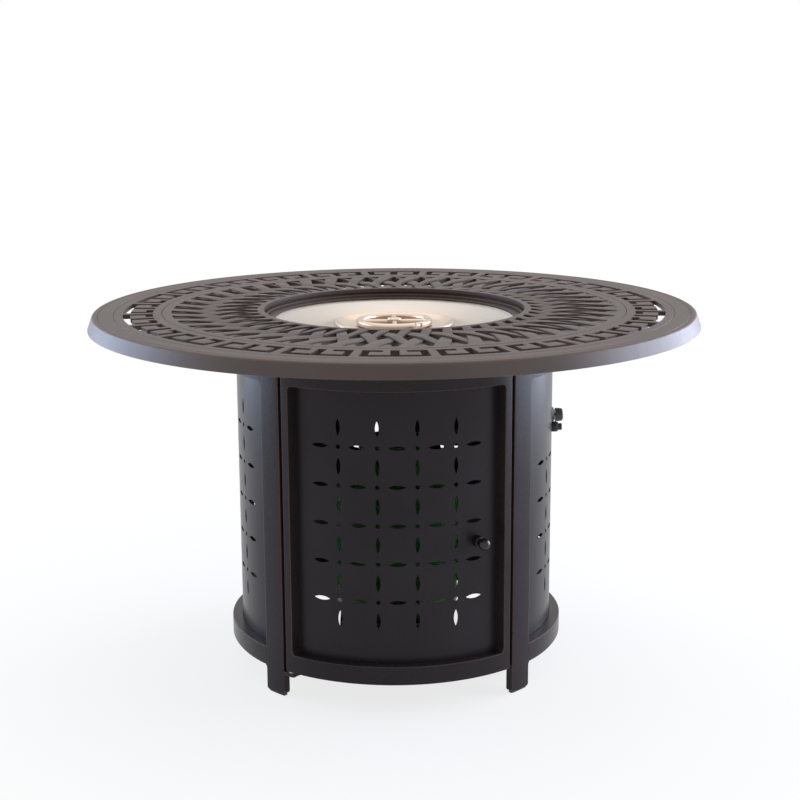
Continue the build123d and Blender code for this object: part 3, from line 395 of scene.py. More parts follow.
def cylinder_enamel(name, tint):
    """Green enamel sprayed on a pressed steel gas cylinder: glossy with orange peel, and scuffs
    near the foot where the cylinder is set down."""
    material, tree, place = fresh_material(name)
    height = put(tree, "ShaderNodeSeparateXYZ", {"Vector": place}).outputs["Z"]
    peel = put(tree, "ShaderNodeTexNoise", {"Vector": place, "Scale": 1 / (4 * MM), "Detail": 2.0})
    scuff = put(tree, "ShaderNodeTexNoise", {
        "Vector": place, "Scale": 1 / (22 * MM), "Detail": 5.0, "Roughness": 0.65})
    low = put(tree, "ShaderNodeMapRange", {
        "Value": height, "From Min": 150 * MM, "From Max": 60 * MM, "To Min": 0.0, "To Max": 0.16})
    worn = put(tree, "ShaderNodeMath", {0: scuff.outputs["Fac"], 1: low.outputs["Result"]}, operation="ADD")
    bare = put(tree, "ShaderNodeMapRange", {
        "Value": worn.outputs["Value"], "From Min": 0.64, "From Max": 0.7})
    tone = put(tree, "ShaderNodeMix", {
        "Factor": scuff.outputs["Fac"], MIX_FIRST: shade(tint, 0.85), MIX_SECOND: shade(tint, 1.1)},
        data_type="RGBA")
    coat = put(tree, "ShaderNodeMix", {
        "Factor": bare.outputs["Result"], MIX_FIRST: tone.outputs[MIX_COLOUR],
        MIX_SECOND: shade(linear("#6d6f64"), 1.0)}, data_type="RGBA")
    rough = put(tree, "ShaderNodeMapRange", {
        "Value": worn.outputs["Value"], "From Min": 0.4, "From Max": 0.75, "To Min": 0.22, "To Max": 0.5})
    bump = put(tree, "ShaderNodeBump", {
        "Height": peel.outputs["Fac"], "Strength": 0.15, "Distance": 0.3 * MM})
    shader = put(tree, "ShaderNodeBsdfPrincipled", {
        "Base Color": coat.outputs[MIX_COLOUR], "Roughness": rough.outputs["Result"],
        "Normal": bump.outputs["Normal"]})
    put(tree, "ShaderNodeOutputMaterial", {"Surface": shader.outputs["BSDF"]})
    return material


def finish(name):
    """A finish by its name, made the first time that it is asked for."""
    if name in bpy.data.materials:
        return bpy.data.materials[name]
    scene = bpy.context.scene
    cabinet = scene.firepit_cabinet
    controls = scene.firepit_controls
    makers = {
        "bronze_coat_cast_top": (powder_coat, scene.firepit_top.tint, 0.42, 0.1, 0.12, 2.2 * MM, 0.5),
        "bronze_coat_frame": (powder_coat, cabinet.frame_tint, 0.28, 0.1, 0.16, 1.6 * MM),
        "bronze_coat_sheet": (powder_coat, cabinet.panel_tint, 0.3, 0.1, 0.16, 1.4 * MM),
        "spun_stainless_steel": (brushed_steel, scene.firepit_burner.steel_tint),
        "zinc_plated_steel": (cast_metal, "#8f9194", "#b9bbbd", 0.34, 6 * MM),
        "machined_brass": (cast_metal, "#a3813f", "#c8a55a", 0.3, 5 * MM),
        "die_cast_zinc": (cast_metal, "#7c7d7f", "#9c9d9e", 0.45, 3 * MM),
        "satin_bronze_knob": (powder_coat, controls.knob_tint, 0.32, 0.4, 0.35, 1.0 * MM),
        "polished_bronze_knob": (powder_coat, controls.grip_tint, 0.16, 0.3, 0.5, 1.2 * MM),
        "bright_pointer_line": (cast_metal, "#c9c8c4", "#e6e5e1", 0.3, 2 * MM),
        "moulded_black_plastic": (moulded_plastic, controls.black_tint),
        "glazed_steatite": (glazed_ceramic,),
        "green_cylinder_enamel": (cylinder_enamel, scene.firepit_cylinder.paint_tint),
    }
    maker, *values = makers[name]
    return maker(name, *values)


def dress(name, *nodes):
    """Gives carried-over solids their finish."""
    for node in nodes:
        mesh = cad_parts[node].data
        mesh.materials.clear()
        mesh.materials.append(finish(name))


def link_object(name, mesh):
    piece = bpy.data.objects.new(name, mesh)
    bpy.context.scene.collection.objects.link(piece)
    return piece


def mesh_piece(name, points, faces):
    mesh = bpy.data.meshes.new(name)
    mesh.from_pydata([tuple(point) for point in points], [], faces)
    mesh.update()
    return link_object(name, mesh)


def settle(piece):
    """Turns an object's modifiers into its plain mesh."""
    graph = bpy.context.evaluated_depsgraph_get()
    mesh = bpy.data.meshes.new_from_object(piece.evaluated_get(graph), preserve_all_data_layers=True,
                                           depsgraph=graph)
    old = piece.data
    piece.modifiers.clear()
    piece.data = mesh
    bpy.data.meshes.remove(old)


def outward(mesh):
    """Merges doubled points and turns every face outwards."""
    work = bmesh.new()
    work.from_mesh(mesh)
    bmesh.ops.remove_doubles(work, verts=work.verts, dist=0.01 * MM)
    bmesh.ops.recalc_face_normals(work, faces=work.faces)
    work.to_mesh(mesh)
    work.free()


def smooth(mesh, degrees=35.0):
    mesh.polygons.foreach_set("use_smooth", [True] * len(mesh.polygons))
    mesh.set_sharp_from_angle(angle=math.radians(degrees))


def soften_edges(piece, width, limit="ANGLE", degrees=40.0, segments=2):
    """Rounds the sharp edges and notes the rounded faces in an attribute, which the powder coat
    paints copper: partly rubbed wear, partly a painted highlight along the edges.
    """
    piece.data.materials.clear()
    piece.data.materials.append(None)
    piece.data.materials.append(None)
    bevel = piece.modifiers.new("Edge round", "BEVEL")
    bevel.width = width
    bevel.segments = segments
    bevel.limit_method = limit
    bevel.angle_limit = math.radians(degrees)
    bevel.use_clamp_overlap = False
    bevel.material = 1
    settle(piece)
    mesh = piece.data
    # Rounded faces marked here get copper in the coat: rubbed wear and a painted edge highlight
    rub_and_highlight = mesh.attributes.new("rub_and_highlight", "FLOAT", "FACE")
    rub_and_highlight.data.foreach_set("value", [float(face.material_index) for face in mesh.polygons])
    mesh.polygons.foreach_set("material_index", [0] * len(mesh.polygons))
    smooth(mesh)
    even = piece.modifiers.new("Even shading", "WEIGHTED_NORMAL")
    even.keep_sharp = True
    settle(piece)


def hand_over(piece, body, material, slot, *replaced):
    """Gives a finished piece its material and body, and hides the solids that it stands for. The slot is not
    used.
    """
    piece.data.materials.clear()
    piece.data.materials.append(finish(material))
    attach(piece, body)
    if replaced:
        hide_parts(*replaced)


def rounded(points, radius, closed=True, steps=4):
    """The same outline with each corner turned into a small curve."""
    result = []
    count = len(points)
    for place, corner in enumerate(points):
        corner = Vector(corner)
        if not closed and place in (0, count - 1):
            result.append(corner)
            continue
        before = Vector(points[place - 1]) - corner
        after = Vector(points[(place + 1) % count]) - corner
        reach = min(radius, before.length * 0.48, after.length * 0.48)
        start = corner + before.normalized() * reach
        end = corner + after.normalized() * reach
        for step in range(steps + 1):
            share = step / steps
            result.append(start * (1 - share) ** 2 + corner * (2 * share * (1 - share)) + end * share ** 2)
    return result


def skin(rings, closed=False):
    """Faces between each ring of point numbers and the next, with every corner once."""
    faces = []
    pairs = list(zip(rings, rings[1:]))
    if closed:
        pairs.append((rings[-1], rings[0]))
    for first, second in pairs:
        for step in range(len(first)):
            after = (step + 1) % len(first)
            corners = list(dict.fromkeys((first[step], first[after], second[after], second[step])))
            if len(corners) > 2:
                faces.append(corners)
    return faces


def lathe(name, outline, steps, place=None, closed=True, flute=None):
    """Surface of revolution about Z from (radius, height) points, then put in its place."""
    points = []
    rings = []
    for radius, height in outline:
        if radius < 1e-7:
            points.append(Vector((0, 0, height)))
            rings.append([len(points) - 1] * steps)
            continue
        ring = []
        for step in range(steps):
            turn = math.tau * step / steps
            out = radius + (flute(turn, radius, height) if flute else 0)
            ring.append(len(points))
            points.append(around(out, turn, height))
        rings.append(ring)
    if place is not None:
        points = [place @ point for point in points]
    piece = mesh_piece(name, points, skin(rings, closed))
    outward(piece.data)
    smooth(piece.data)
    return piece


def joined(name, pieces):
    """One mesh object from several, which are removed."""
    work = bmesh.new()
    for piece in pieces:
        work.from_mesh(piece.data)
    mesh = bpy.data.meshes.new(name)
    work.to_mesh(mesh)
    work.free()
    for piece in pieces:
        bpy.data.objects.remove(piece)
    return link_object(name, mesh)


def wall_place(angle, height):
    """Place on the cabinet's wall: X along the wall, Y up and Z straight out."""
    turn = math.radians(angle)
    out = around(1, turn)
    along = around(1, turn + math.pi / 2)
    place = Matrix((along, Vector((0, 0, 1)), out)).transposed().to_4x4()
    place.translation = out * RAIL_RADIUS + Vector((0, 0, height))
    return place


def mesh_tool(name, *kinds):
    """Geometry node tree from a mesh to a mesh, its inputs and the names of the extra sockets."""
    tree = bpy.data.node_groups.new(name, "GeometryNodeTree")
    tree.interface.new_socket("Mesh", in_out="INPUT", socket_type="NodeSocketGeometry")
    sockets = [tree.interface.new_socket(label, in_out="INPUT", socket_type=kind) for label, kind in kinds]
    tree.interface.new_socket("Mesh", in_out="OUTPUT", socket_type="NodeSocketGeometry")
    return tree, put(tree, "NodeGroupInput").outputs, [socket.identifier for socket in sockets]


def use_tool(piece, tree, mesh, material, values):
    """Ends the tree in a material, runs it on a piece with its values and keeps the mesh."""
    dressed = put(tree, "GeometryNodeSetMaterial", {"Geometry": mesh, "Material": finish(material)})
    put(tree, "NodeGroupOutput", {"Mesh": dressed.outputs["Geometry"]})
    modifier = piece.modifiers.new(tree.name, "NODES")
    modifier.node_group = tree
    for identifier, value in values:
        modifier[identifier] = value
    settle(piece)


def turned_copies(piece, count, material):
    """Geometry nodes that repeat a mesh evenly around the middle axis."""
    tree, source, names = mesh_tool("Copies around the middle", ("Copies", "NodeSocketInt"),
                                    ("Merge distance", "NodeSocketFloat"))
    points = put(tree, "GeometryNodePoints", {"Count": source["Copies"]})
    index = put(tree, "GeometryNodeInputIndex").outputs["Index"]
    step = put(tree, "ShaderNodeMath", {0: math.tau, 1: source["Copies"]}, operation="DIVIDE")
    turn = put(tree, "ShaderNodeMath", {0: index, 1: step.outputs["Value"]}, operation="MULTIPLY")
    axis = put(tree, "ShaderNodeCombineXYZ", {"Z": turn.outputs["Value"]})
    rotation = put(tree, "FunctionNodeEulerToRotation", {"Euler": axis.outputs["Vector"]})
    placed = put(tree, "GeometryNodeInstanceOnPoints", {
        "Points": points.outputs[0], "Instance": source["Mesh"], "Rotation": rotation.outputs["Rotation"]})
    real = put(tree, "GeometryNodeRealizeInstances", {"Geometry": placed.outputs["Instances"]})
    whole = put(tree, "GeometryNodeMergeByDistance", {"Geometry": real.outputs["Geometry"],
                                                      "Distance": source["Merge distance"]})
    use_tool(piece, tree, whole.outputs["Geometry"], material, zip(names, (count, 0.02 * MM)))


def set_around(points, ways, head, material, name):
    """Geometry nodes that set a fastener head on each point, along the point's own way."""
    cloud = mesh_piece(name, points, [])
    way = cloud.data.attributes.new("way", "FLOAT_VECTOR", "POINT")
    way.data.foreach_set("vector", [part for out in ways for part in out])
    tree, source, names = mesh_tool("Heads on points", ("Head", "NodeSocketObject"))
    model = put(tree, "GeometryNodeObjectInfo", {"Object": source["Head"]})
    out = put(tree, "GeometryNodeInputNamedAttribute", {"Name": "way"}, data_type="FLOAT_VECTOR")
    aim = put(tree, "FunctionNodeAlignRotationToVector", {"Vector": out.outputs["Attribute"]}, axis="Z")
    spots = put(tree, "GeometryNodeMeshToPoints", {"Mesh": source["Mesh"]})
    placed = put(tree, "GeometryNodeInstanceOnPoints", {
        "Points": spots.outputs["Points"], "Instance": model.outputs["Geometry"],
        "Rotation": aim.outputs["Rotation"]})
    real = put(tree, "GeometryNodeRealizeInstances", {"Geometry": placed.outputs["Instances"]})
    use_tool(cloud, tree, real.outputs["Geometry"], material, zip(names, (head,)))
    smooth(cloud.data)
    return cloud


def soften_solid(node, width, body, material, slot):
    """Puts a copy with merged points and rounded edges in a solid's place."""
    mesh = bpy.data.meshes.new(node + "_rounded")
    work = bmesh.new()
    work.from_mesh(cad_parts[node].data)
    bmesh.ops.remove_doubles(work, verts=work.verts, dist=0.02 * MM)
    bmesh.ops.dissolve_limit(work, angle_limit=math.radians(0.6), verts=work.verts, edges=work.edges)
    work.to_mesh(mesh)
    work.free()
    if "custom_normal" in mesh.attributes:
        mesh.attributes.remove(mesh.attributes["custom_normal"])
    piece = link_object(node + "_rounded", mesh)
    soften_edges(piece, width)
    hand_over(piece, body, material, slot, node)


# Cast top
def level_at(radius, line):
    """Level of a sloped face at a radius."""
    (start, high), (end, low) = line
    return round(high + (low - high) * (radius - start) / (end - start), 5)


def rim_bands():
    """Rings of the rim casting: inner and outer radius, then top and under levels at each."""
    ledge, joint, step = STEP_RADII
    bands = [(ledge, joint, PLATE_UNDER, PLATE_UNDER, COLLAR_UNDER, COLLAR_UNDER),
             (joint, step, TABLE_TOP, TABLE_TOP, COLLAR_UNDER, COLLAR_UNDER)]
    flat = [step, KEY_INNER, KEY_INNER + KEY_SLOT, KEY_OUTER - KEY_SLOT, KEY_OUTER]
    bottom = TABLE_TOP - FINE_GROOVE_DEPTH
    for groove in FINE_GROOVES:
        flat.append(groove - FINE_GROOVE_HALF)
        for start, end in zip(flat, flat[1:]):
            bands.append((start, end, TABLE_TOP, TABLE_TOP, PLATE_UNDER, PLATE_UNDER))
        bands.append((groove - FINE_GROOVE_HALF, groove, TABLE_TOP, bottom, PLATE_UNDER, PLATE_UNDER))
        bands.append((groove, groove + FINE_GROOVE_HALF, bottom, TABLE_TOP, PLATE_UNDER, PLATE_UNDER))
        flat = [groove + FINE_GROOVE_HALF]
    skirt, foot = SKIRT_INSIDE[0][0], SKIRT_INSIDE[1][0]
    (edge, edge_level), (rim, rim_level) = SKIRT_OUTSIDE
    flat_under = level_at(CHAMFER_START, SKIRT_INSIDE)
    edge_under = level_at(edge, SKIRT_INSIDE)
    foot_level = level_at(foot, SKIRT_OUTSIDE)
    return bands + [(flat[0], skirt, TABLE_TOP, TABLE_TOP, PLATE_UNDER, PLATE_UNDER),
                    (skirt, CHAMFER_START, TABLE_TOP, TABLE_TOP, PLATE_UNDER, flat_under),
                    (CHAMFER_START, edge, TABLE_TOP, edge_level, flat_under, edge_under),
                    (edge, foot, edge_level, foot_level, edge_under, SKIRT_UNDER),
                    (foot, rim, foot_level, rim_level, SKIRT_UNDER, SKIRT_UNDER)]


def in_key(radius, along):
    """Whether a spot of the rim lies in the Greek key's slot."""
    along = abs(along)
    if not KEY_INNER < radius < KEY_OUTER or along > KEY_HALF:
        return False
    hook = along > KEY_STEM + KEY_SLOT and radius < KEY_INNER + KEY_SLOT
    return radius > KEY_OUTER - KEY_SLOT or along < KEY_STEM or along > KEY_HALF - KEY_SLOT or hook


def rim_sector(sizes):
    """One motif's share of the rim casting, as a plan of solid cells with their walls."""
    hook = KEY_STEM + KEY_SLOT
    flank = KEY_HALF - KEY_SLOT
    ahead = [KEY_STEM, hook, (hook + flank) / 2, flank, KEY_HALF, math.pi / sizes.motifs * KEY_MIDDLE]
    lines = [-along for along in reversed(ahead)] + [0.0] + ahead
    cells = list(zip(lines, lines[1:]))
    work = bmesh.new()
    weight = work.edges.layers.float.new("bevel_weight_edge")
    known = {}

    def spot(radius, along, level):
        key = (round(radius, 5), round(along, 5), round(level, 5))
        if key not in known:
            known[key] = work.verts.new(around(radius, along / KEY_MIDDLE + sizes.pattern_turn, level))
        return known[key]

    def face(*corners):
        corners = list(dict.fromkeys(spot(*corner) for corner in corners))
        if len(corners) > 2:
            work.faces.new(corners)

    def soft(first, second):
        edge = work.edges.get((spot(*first), spot(*second)))
        if edge:
            edge[weight] = 1.0

    def wall(*corners):
        """Upright face, with the edge between its first two corners to be rounded."""
        face(*corners)
        soft(*corners[:2])

    bands = rim_bands()
    solid = [[not in_key((band[0] + band[1]) / 2, (left + right) / 2) for left, right in cells]
             for band in bands]
    for row, (inner, outer, top_in, top_out, low_in, low_out) in enumerate(bands):
        for column, (left, right) in enumerate(cells):
            if not solid[row][column]:
                continue
            face((inner, left, top_in), (outer, left, top_out), (outer, right, top_out),
                 (inner, right, top_in))
            face((inner, left, low_in), (inner, right, low_in), (outer, right, low_out),
                 (outer, left, low_out))
            for side, near in ((left, column - 1), (right, column + 1)):
                if 0 <= near < len(cells) and not solid[row][near]:
                    wall((inner, side, top_in), (outer, side, top_out), (outer, side, low_out),
                         (inner, side, low_in))
            for radius, top, low, near in ((inner, top_in, low_in, row - 1),
                                           (outer, top_out, low_out, row + 1)):
                if not 0 <= near < len(bands) or not solid[near][column]:
                    wall((radius, left, top), (radius, right, top), (radius, right, low), (radius, left, low))
    for row, (first, second) in enumerate(zip(bands, bands[1:])):
        radius = first[1]
        for column, (left, right) in enumerate(cells):
            for low, top in (sorted((first[3], second[2])), sorted((first[5], second[4]))):
                if top - low > 0.01 * MM and solid[row][column] and solid[row + 1][column]:
                    wall((radius, left, top), (radius, right, top), (radius, right, low), (radius, left, low))
    for radius, level in ((CHAMFER_START, TABLE_TOP),) + SKIRT_OUTSIDE:
        for left, right in cells:
            soft((radius, left, level), (radius, right, level))
    mesh = bpy.data.meshes.new("rim_casting")
    work.to_mesh(mesh)
    work.free()
    return link_object("rim_casting", mesh)


def strip_dip(rows_out, family, sizes, inner_rows, outer_rows):
    """How far a strip lies below the top at a distance, in rows, outwards from the first crossing."""
    half = sizes.strip_share / 2
    dip = 0.0
    for row in range(CROSSING_ROWS):
        if (row % 2 == 0) != (family > 0):
            continue
        away = rows_out + row
        edge = (outer_rows + row) if away > 0 else -(inner_rows + row)
        far = min(1 - half, edge)
        away = abs(away)
        if away <= half:
            share = 1.0
        elif far > half:
            share = max(0.0, (far - away) / (far - half))
        else:
            share = 0.0
        dip = max(dip, share * sizes.weave_dip)
    return dip


def lattice_strip(sizes, family):
    """One spiral strip with rounded top edges that dives under every second strip it meets."""
    pitch = math.tau / sizes.strips
    span = math.log(LATTICE_OUTER / LATTICE_INNER)
    first_row = math.log(LATTICE_OUTER) - FIRST_CROSSING * span
    rise = CROSSING_RISE * span
    lean = pitch / rise
    half = pitch * sizes.strip_share / 2
    start = math.log(LATTICE_INNER - STRIP_TUCK)
    end = math.log(LATTICE_OUTER + STRIP_TUCK)
    inner_rows = (math.log(LATTICE_INNER) - first_row) / (rise / 2)
    outer_rows = (math.log(LATTICE_OUTER) - first_row) / (rise / 2)
    samples = 64
    turns = 4
    under = PLATE_UNDER + (UNDER_SHIFT if family > 0 else 0)
    points = []
    for sample in range(samples + 1):
        level = start + (end - start) * sample / samples
        radius = math.exp(level)
        theta = pitch / 2 + family * lean * (level - first_row) + sizes.pattern_turn
        rows_out = (level - first_row) / (rise / 2)
        across = sizes.edge_round / radius
        section = [(-half, under)]
        for side in (-1, 1):
            for step in range(turns + 1):
                bend = math.pi / 2 * (step / turns if side < 0 else 1 - step / turns)
                shift = side * (half - across * (1 - math.cos(bend)))
                dip = strip_dip(rows_out + family * shift / pitch, family, sizes, inner_rows, outer_rows)
                section.append((shift, TABLE_TOP - STRIP_SHY - dip - sizes.edge_round * (1 - math.sin(bend))))
        section.append((half, under))
        points.extend(around(radius, theta + shift, height) for shift, height in section)
    rings = [list(range(first, first + len(section))) for first in range(0, len(points), len(section))]
    return mesh_piece("strip", points, skin(rings) + [rings[0], rings[-1]])


class FIREPIT_OT_cast_top(bpy.types.Operator):
    """Makes the Greek key rim and the woven lattice of the cast table top"""
    bl_idname = "firepit.cast_top"
    bl_label = "Cast top"

    def execute(self, context):
        sizes = context.scene.firepit_top
        rim = rim_sector(sizes)
        turned_copies(rim, sizes.motifs, "bronze_coat_cast_top")
        outward(rim.data)
        soften_edges(rim, sizes.edge_round, limit="WEIGHT")
        hand_over(rim, "base", "bronze_coat_cast_top", "cast_top", "table_rim")

        strips = joined("lattice_strips", [lattice_strip(sizes, 1), lattice_strip(sizes, -1)])
        outward(strips.data)
        turned_copies(strips, sizes.strips, "bronze_coat_cast_top")
        smooth(strips.data, 30.0)
        steps = sizes.strips * 4
        edge = JOINT_RADIUS - JOINT_GAP / 2
        border = [(LATTICE_OUTER, TABLE_TOP), (edge, TABLE_TOP), (edge, PLATE_UNDER),
                  (LATTICE_OUTER, PLATE_UNDER)]
        collar = [(BOWL_RADIUS, TABLE_TOP), (LATTICE_INNER, TABLE_TOP), (LATTICE_INNER, PLATE_UNDER),
                  (COLLAR_OUTER, PLATE_UNDER), (COLLAR_OUTER, COLLAR_UNDER), (COLLAR_INNER, COLLAR_UNDER),
                  (COLLAR_INNER, COLLAR_GROOVE_UNDER), (COLLAR_GROOVE_RADIUS, COLLAR_GROOVE_UNDER),
                  (COLLAR_GROOVE_RADIUS, PLATE_UNDER), (BOWL_RADIUS, PLATE_UNDER)]
        pieces = [strips, lathe("border", rounded(border, sizes.edge_round), steps),
                  lathe("collar", rounded(collar, sizes.edge_round * 1.4), steps)]
        lattice = joined("lattice_casting", pieces)
        smooth(lattice.data, 40.0)
        hand_over(lattice, "base", "bronze_coat_cast_top", "cast_top", "lattice_ring")
        ledge = [(LEDGE_INNER, COLLAR_UNDER), (LEDGE_OUTER, COLLAR_UNDER), (LEDGE_OUTER, LEDGE_TOP),
                 (LEDGE_INNER, LEDGE_TOP)]
        ring = lathe("bowl_ledge_turned", rounded(ledge, sizes.edge_round), steps)
        hand_over(ring, "base", "bronze_coat_cast_top", "cast_top", "bowl_ledge")
        for corner in ("front_left", "front_right", "rear_right", "rear_left"):
            arm = "support_arm_" + corner
            soften_solid(arm, sizes.edge_round, "base", "bronze_coat_frame", "bronze_frame")
        return {"FINISHED"}


# Cabinet
class FIREPIT_OT_cabinet(bpy.types.Operator):
    """Rounds the legs, rails and pivot brackets and coats the perforated sheets"""
    bl_idname = "firepit.cabinet"
    bl_label = "Cabinet"

    def execute(self, context):
        width = context.scene.firepit_cabinet.edge_round
        rounded_nodes = ["leg_front_left", "leg_front_right", "leg_rear_right", "leg_rear_left",
                         "bottom_rail_left", "bottom_rail_right", "bottom_rail_rear",
                         "top_rail_left", "top_rail_right", "top_rail_rear",
                         "pivot_bracket_lower", "pivot_bracket_upper"]
        for node in rounded_nodes:
            soften_solid(node, width, "base", "bronze_coat_frame", "bronze_frame")
        dress("bronze_coat_sheet", "panel_left", "panel_right", "panel_rear", "base_plate")
        dress("moulded_black_plastic", "foot_glides")
        dress("zinc_plated_steel", "heat_shield", "pivot_pins", "pivot_washer", "magnet_catch", "table_bolts")
        return {"FINISHED"}


class FIREPIT_OT_door(bpy.types.Operator):
    """Rounds the door frame and turns the door knob with its ribbed collar"""
    bl_idname = "firepit.door"
    bl_label = "Door"

    def execute(self, context):
        width = context.scene.firepit_cabinet.edge_round
        soften_solid("door_frame", width, "door", "bronze_coat_frame", "bronze_frame")
        dress("bronze_coat_sheet", "door_panel")
        dress("zinc_plated_steel", "door_strike")
        place = wall_place(*DOOR_KNOB)
        neck = [(0, -6.5), (3, -6.5), (3, 14), (5.4, 15.4), (6.4, 17.4)]
        ball = arc((0, 28), 11.5, -54, 90, 18)[:-1] + [(0, 39.5)]
        knob = lathe("door_knob_turned", in_metres(neck + ball), 64, place, closed=False)
        hand_over(knob, "door", "polished_bronze_knob", "bronze_knob", "door_knob")

        def fluting(turn, radius, height):
            if radius < 8 * MM:
                return 0.0
            return -COLLAR_FLUTE_DEPTH * (1 - abs(math.cos(turn * COLLAR_FLUTES / 2))) ** 2

        sleeve = [(3.2, 0.1), (10.6, 0.1), (11.0, 0.6), (11.0, 3.0), (10.7, 7.0), (10.1, 11.0), (9.6, 13.2),
                  (8.6, 14.0), (3.2, 14.0)]
        collar = lathe("door_knob_collar_fluted", in_metres(sleeve), 128, place, flute=fluting)
        hand_over(collar, "door", "polished_bronze_knob", "bronze_knob", "door_knob_collar")
        return {"FINISHED"}


# Burner
class FIREPIT_OT_burner(bpy.types.Operator):
    """Spins the pan and dish, bends the ring burner and finishes the gas fittings"""
    bl_idname = "firepit.burner"
    bl_label = "Burner"

    def execute(self, context):
        sizes = context.scene.firepit_burner
        pan = [(11.0, 687.0), (150.0, 687.0), (236.0, 708.0), (266.0, 708.0)]
        upper = rounded(in_metres(pan), sizes.pan_round, closed=False, steps=8)
        lower = [Vector((point.x + 0.4 * MM, point.y - 2 * MM)) for point in reversed(upper)]
        piece = lathe("burner_pan_spun", upper + lower, 160)
        hand_over(piece, "base", "spun_stainless_steel", "stainless", "burner_pan")
        dish = [(11.0, 691.0), (100.0, 691.0), (116.0, 699.0)]
        inner = rounded(in_metres(dish), 6 * MM, closed=False, steps=6)
        bead = in_metres(arc((118, 696), 4, 150, -130, 18))
        outer = [Vector((point.x + 0.6 * MM, point.y - 2 * MM)) for point in reversed(inner)]
        piece = lathe("burner_dish_spun", inner + bead + outer, 128)
        hand_over(piece, "base", "spun_stainless_steel", "stainless", "burner_dish")

        tube = arc((BURNER_RADIUS, BURNER_LEVEL), sizes.tube_radius, 0, 360, 20)[:-1]
        ring = lathe("burner_ring_bent", tube, 96)
        spot = around(BURNER_RADIUS, math.pi / sizes.ports, BURNER_LEVEL)
        drill = in_metres([(0, 0), (1.25, 0), (1.25, 12), (0, 12)])
        port = lathe("port", drill, 12, Matrix.Translation(spot), closed=False)
        turned_copies(port, sizes.ports, "spun_stainless_steel")
        drilled = ring.modifiers.new("Ports", "BOOLEAN")
        drilled.operation = "DIFFERENCE"
        drilled.object = port
        settle(ring)
        bpy.data.objects.remove(port)
        smooth(ring.data, 50.0)
        arms = []
        for degrees in (0, 90, 180, 270):
            swing = Matrix.Rotation(math.radians(degrees), 4, "Z")
            lying = Matrix.Translation((0, 0, BURNER_LEVEL)) @ Matrix.Rotation(math.pi / 2, 4, "X")
            arms.append(lathe("arm", in_metres([(5, 8), (5, 66)]), 20, swing @ lying, closed=False))
        hub = [(0, 691), (15, 691), (15, 705), (9, 706.5), (0, 706.5)]
        outline = rounded(in_metres(hub), 1.5 * MM, closed=False)
        ring = joined("burner_ring_bent", [ring, lathe("hub", outline, 48, closed=False)] + arms)
        smooth(ring.data, 45.0)
        hand_over(ring, "base", "spun_stainless_steel", "stainless", "burner_ring")
        dress("spun_stainless_steel", "burner_inlet", "electrode_bracket", "thermocouple")
        dress("zinc_plated_steel", "burner_nut", "supply_tube")
        dress("machined_brass", "orifice_fitting")
        dress("glazed_steatite", "ignition_electrode")
        return {"FINISHED"}


# Controls
class FIREPIT_OT_controls(bpy.types.Operator):
    """Turns the control knob, its bezel and the igniter on the right hand panel"""
    bl_idname = "firepit.controls"
    bl_label = "Controls"

    def execute(self, context):
        sizes = context.scene.firepit_controls
        place = wall_place(*CONTROL_KNOB)

        def grip(turn, radius, height):
            if radius < 12.0 * MM or not 13 * MM < height < 25 * MM:
                return 0.0
            return -KNOB_FLUTE_DEPTH * (0.5 + 0.5 * math.cos(turn * sizes.flutes))

        knob = [(0, 10.7), (13.4, 10.7), (14.0, 11.4), (14.0, 13.2), (13.9, 14.5), (13.7, 18.0), (13.4, 21.5),
                (13.0, 23.4), (12.1, 25.0), (10.6, 26.1), (8.0, 26.5), (0, 26.7)]
        piece = lathe("control_knob_turned", in_metres(knob), 192, place, closed=False, flute=grip)
        hand_over(piece, "knob", "satin_bronze_knob", "bronze_knob", "control_knob")
        line = [place @ Vector((across * MM, up * MM, out * MM)) for out in (25.4, 26.75)
                for across, up in ((-1, 1.5), (1, 1.5), (1, 9.4), (-1, 9.4))]
        faces = [(0, 3, 2, 1), (4, 5, 6, 7), (0, 1, 5, 4), (1, 2, 6, 5), (2, 3, 7, 6), (3, 0, 4, 7)]
        pointer = mesh_piece("control_knob_pointer", line, faces)
        outward(pointer.data)
        soften_edges(pointer, 0.25 * MM)
        hand_over(pointer, "knob", "bright_pointer_line", "bronze_knob")
        ring = [(3.4, 0.1), (18.0, 0.1), (18.0, 2.8), (16.6, 4.2), (15.8, 6.6), (14.6, 7.2), (3.4, 7.2)]
        bezel = lathe("knob_bezel_turned", rounded(in_metres(ring), 0.8 * MM), 96, place)
        hand_over(bezel, "base", "moulded_black_plastic", "black_plastic", "knob_bezel")

        place = wall_place(*IGNITER)
        flange = [(7.3, -26), (8.5, -26), (8.5, 0.1), (10.6, 0.1), (10.6, 8.6), (9.2, 12.8), (7.3, 12.8)]
        housing = lathe("igniter_housing_turned", rounded(in_metres(flange), 0.7 * MM), 64, place)
        hand_over(housing, "base", "moulded_black_plastic", "black_plastic", "igniter_housing")
        button = [(0, -15.0), (7.0, -15.0), (7.0, 19.4), (5.8, 20.9), (0, 20.4)]
        outline = rounded(in_metres(button), 0.8 * MM, closed=False)
        piece = lathe("igniter_button_turned", outline, 48, place, closed=False)
        hand_over(piece, "igniter", "moulded_black_plastic", "black_plastic", "igniter_button")
        dress("moulded_black_plastic", "igniter_nut")
        dress("die_cast_zinc", "valve_body")
        dress("machined_brass", "valve_plunger", "valve_stem")
        return {"FINISHED"}


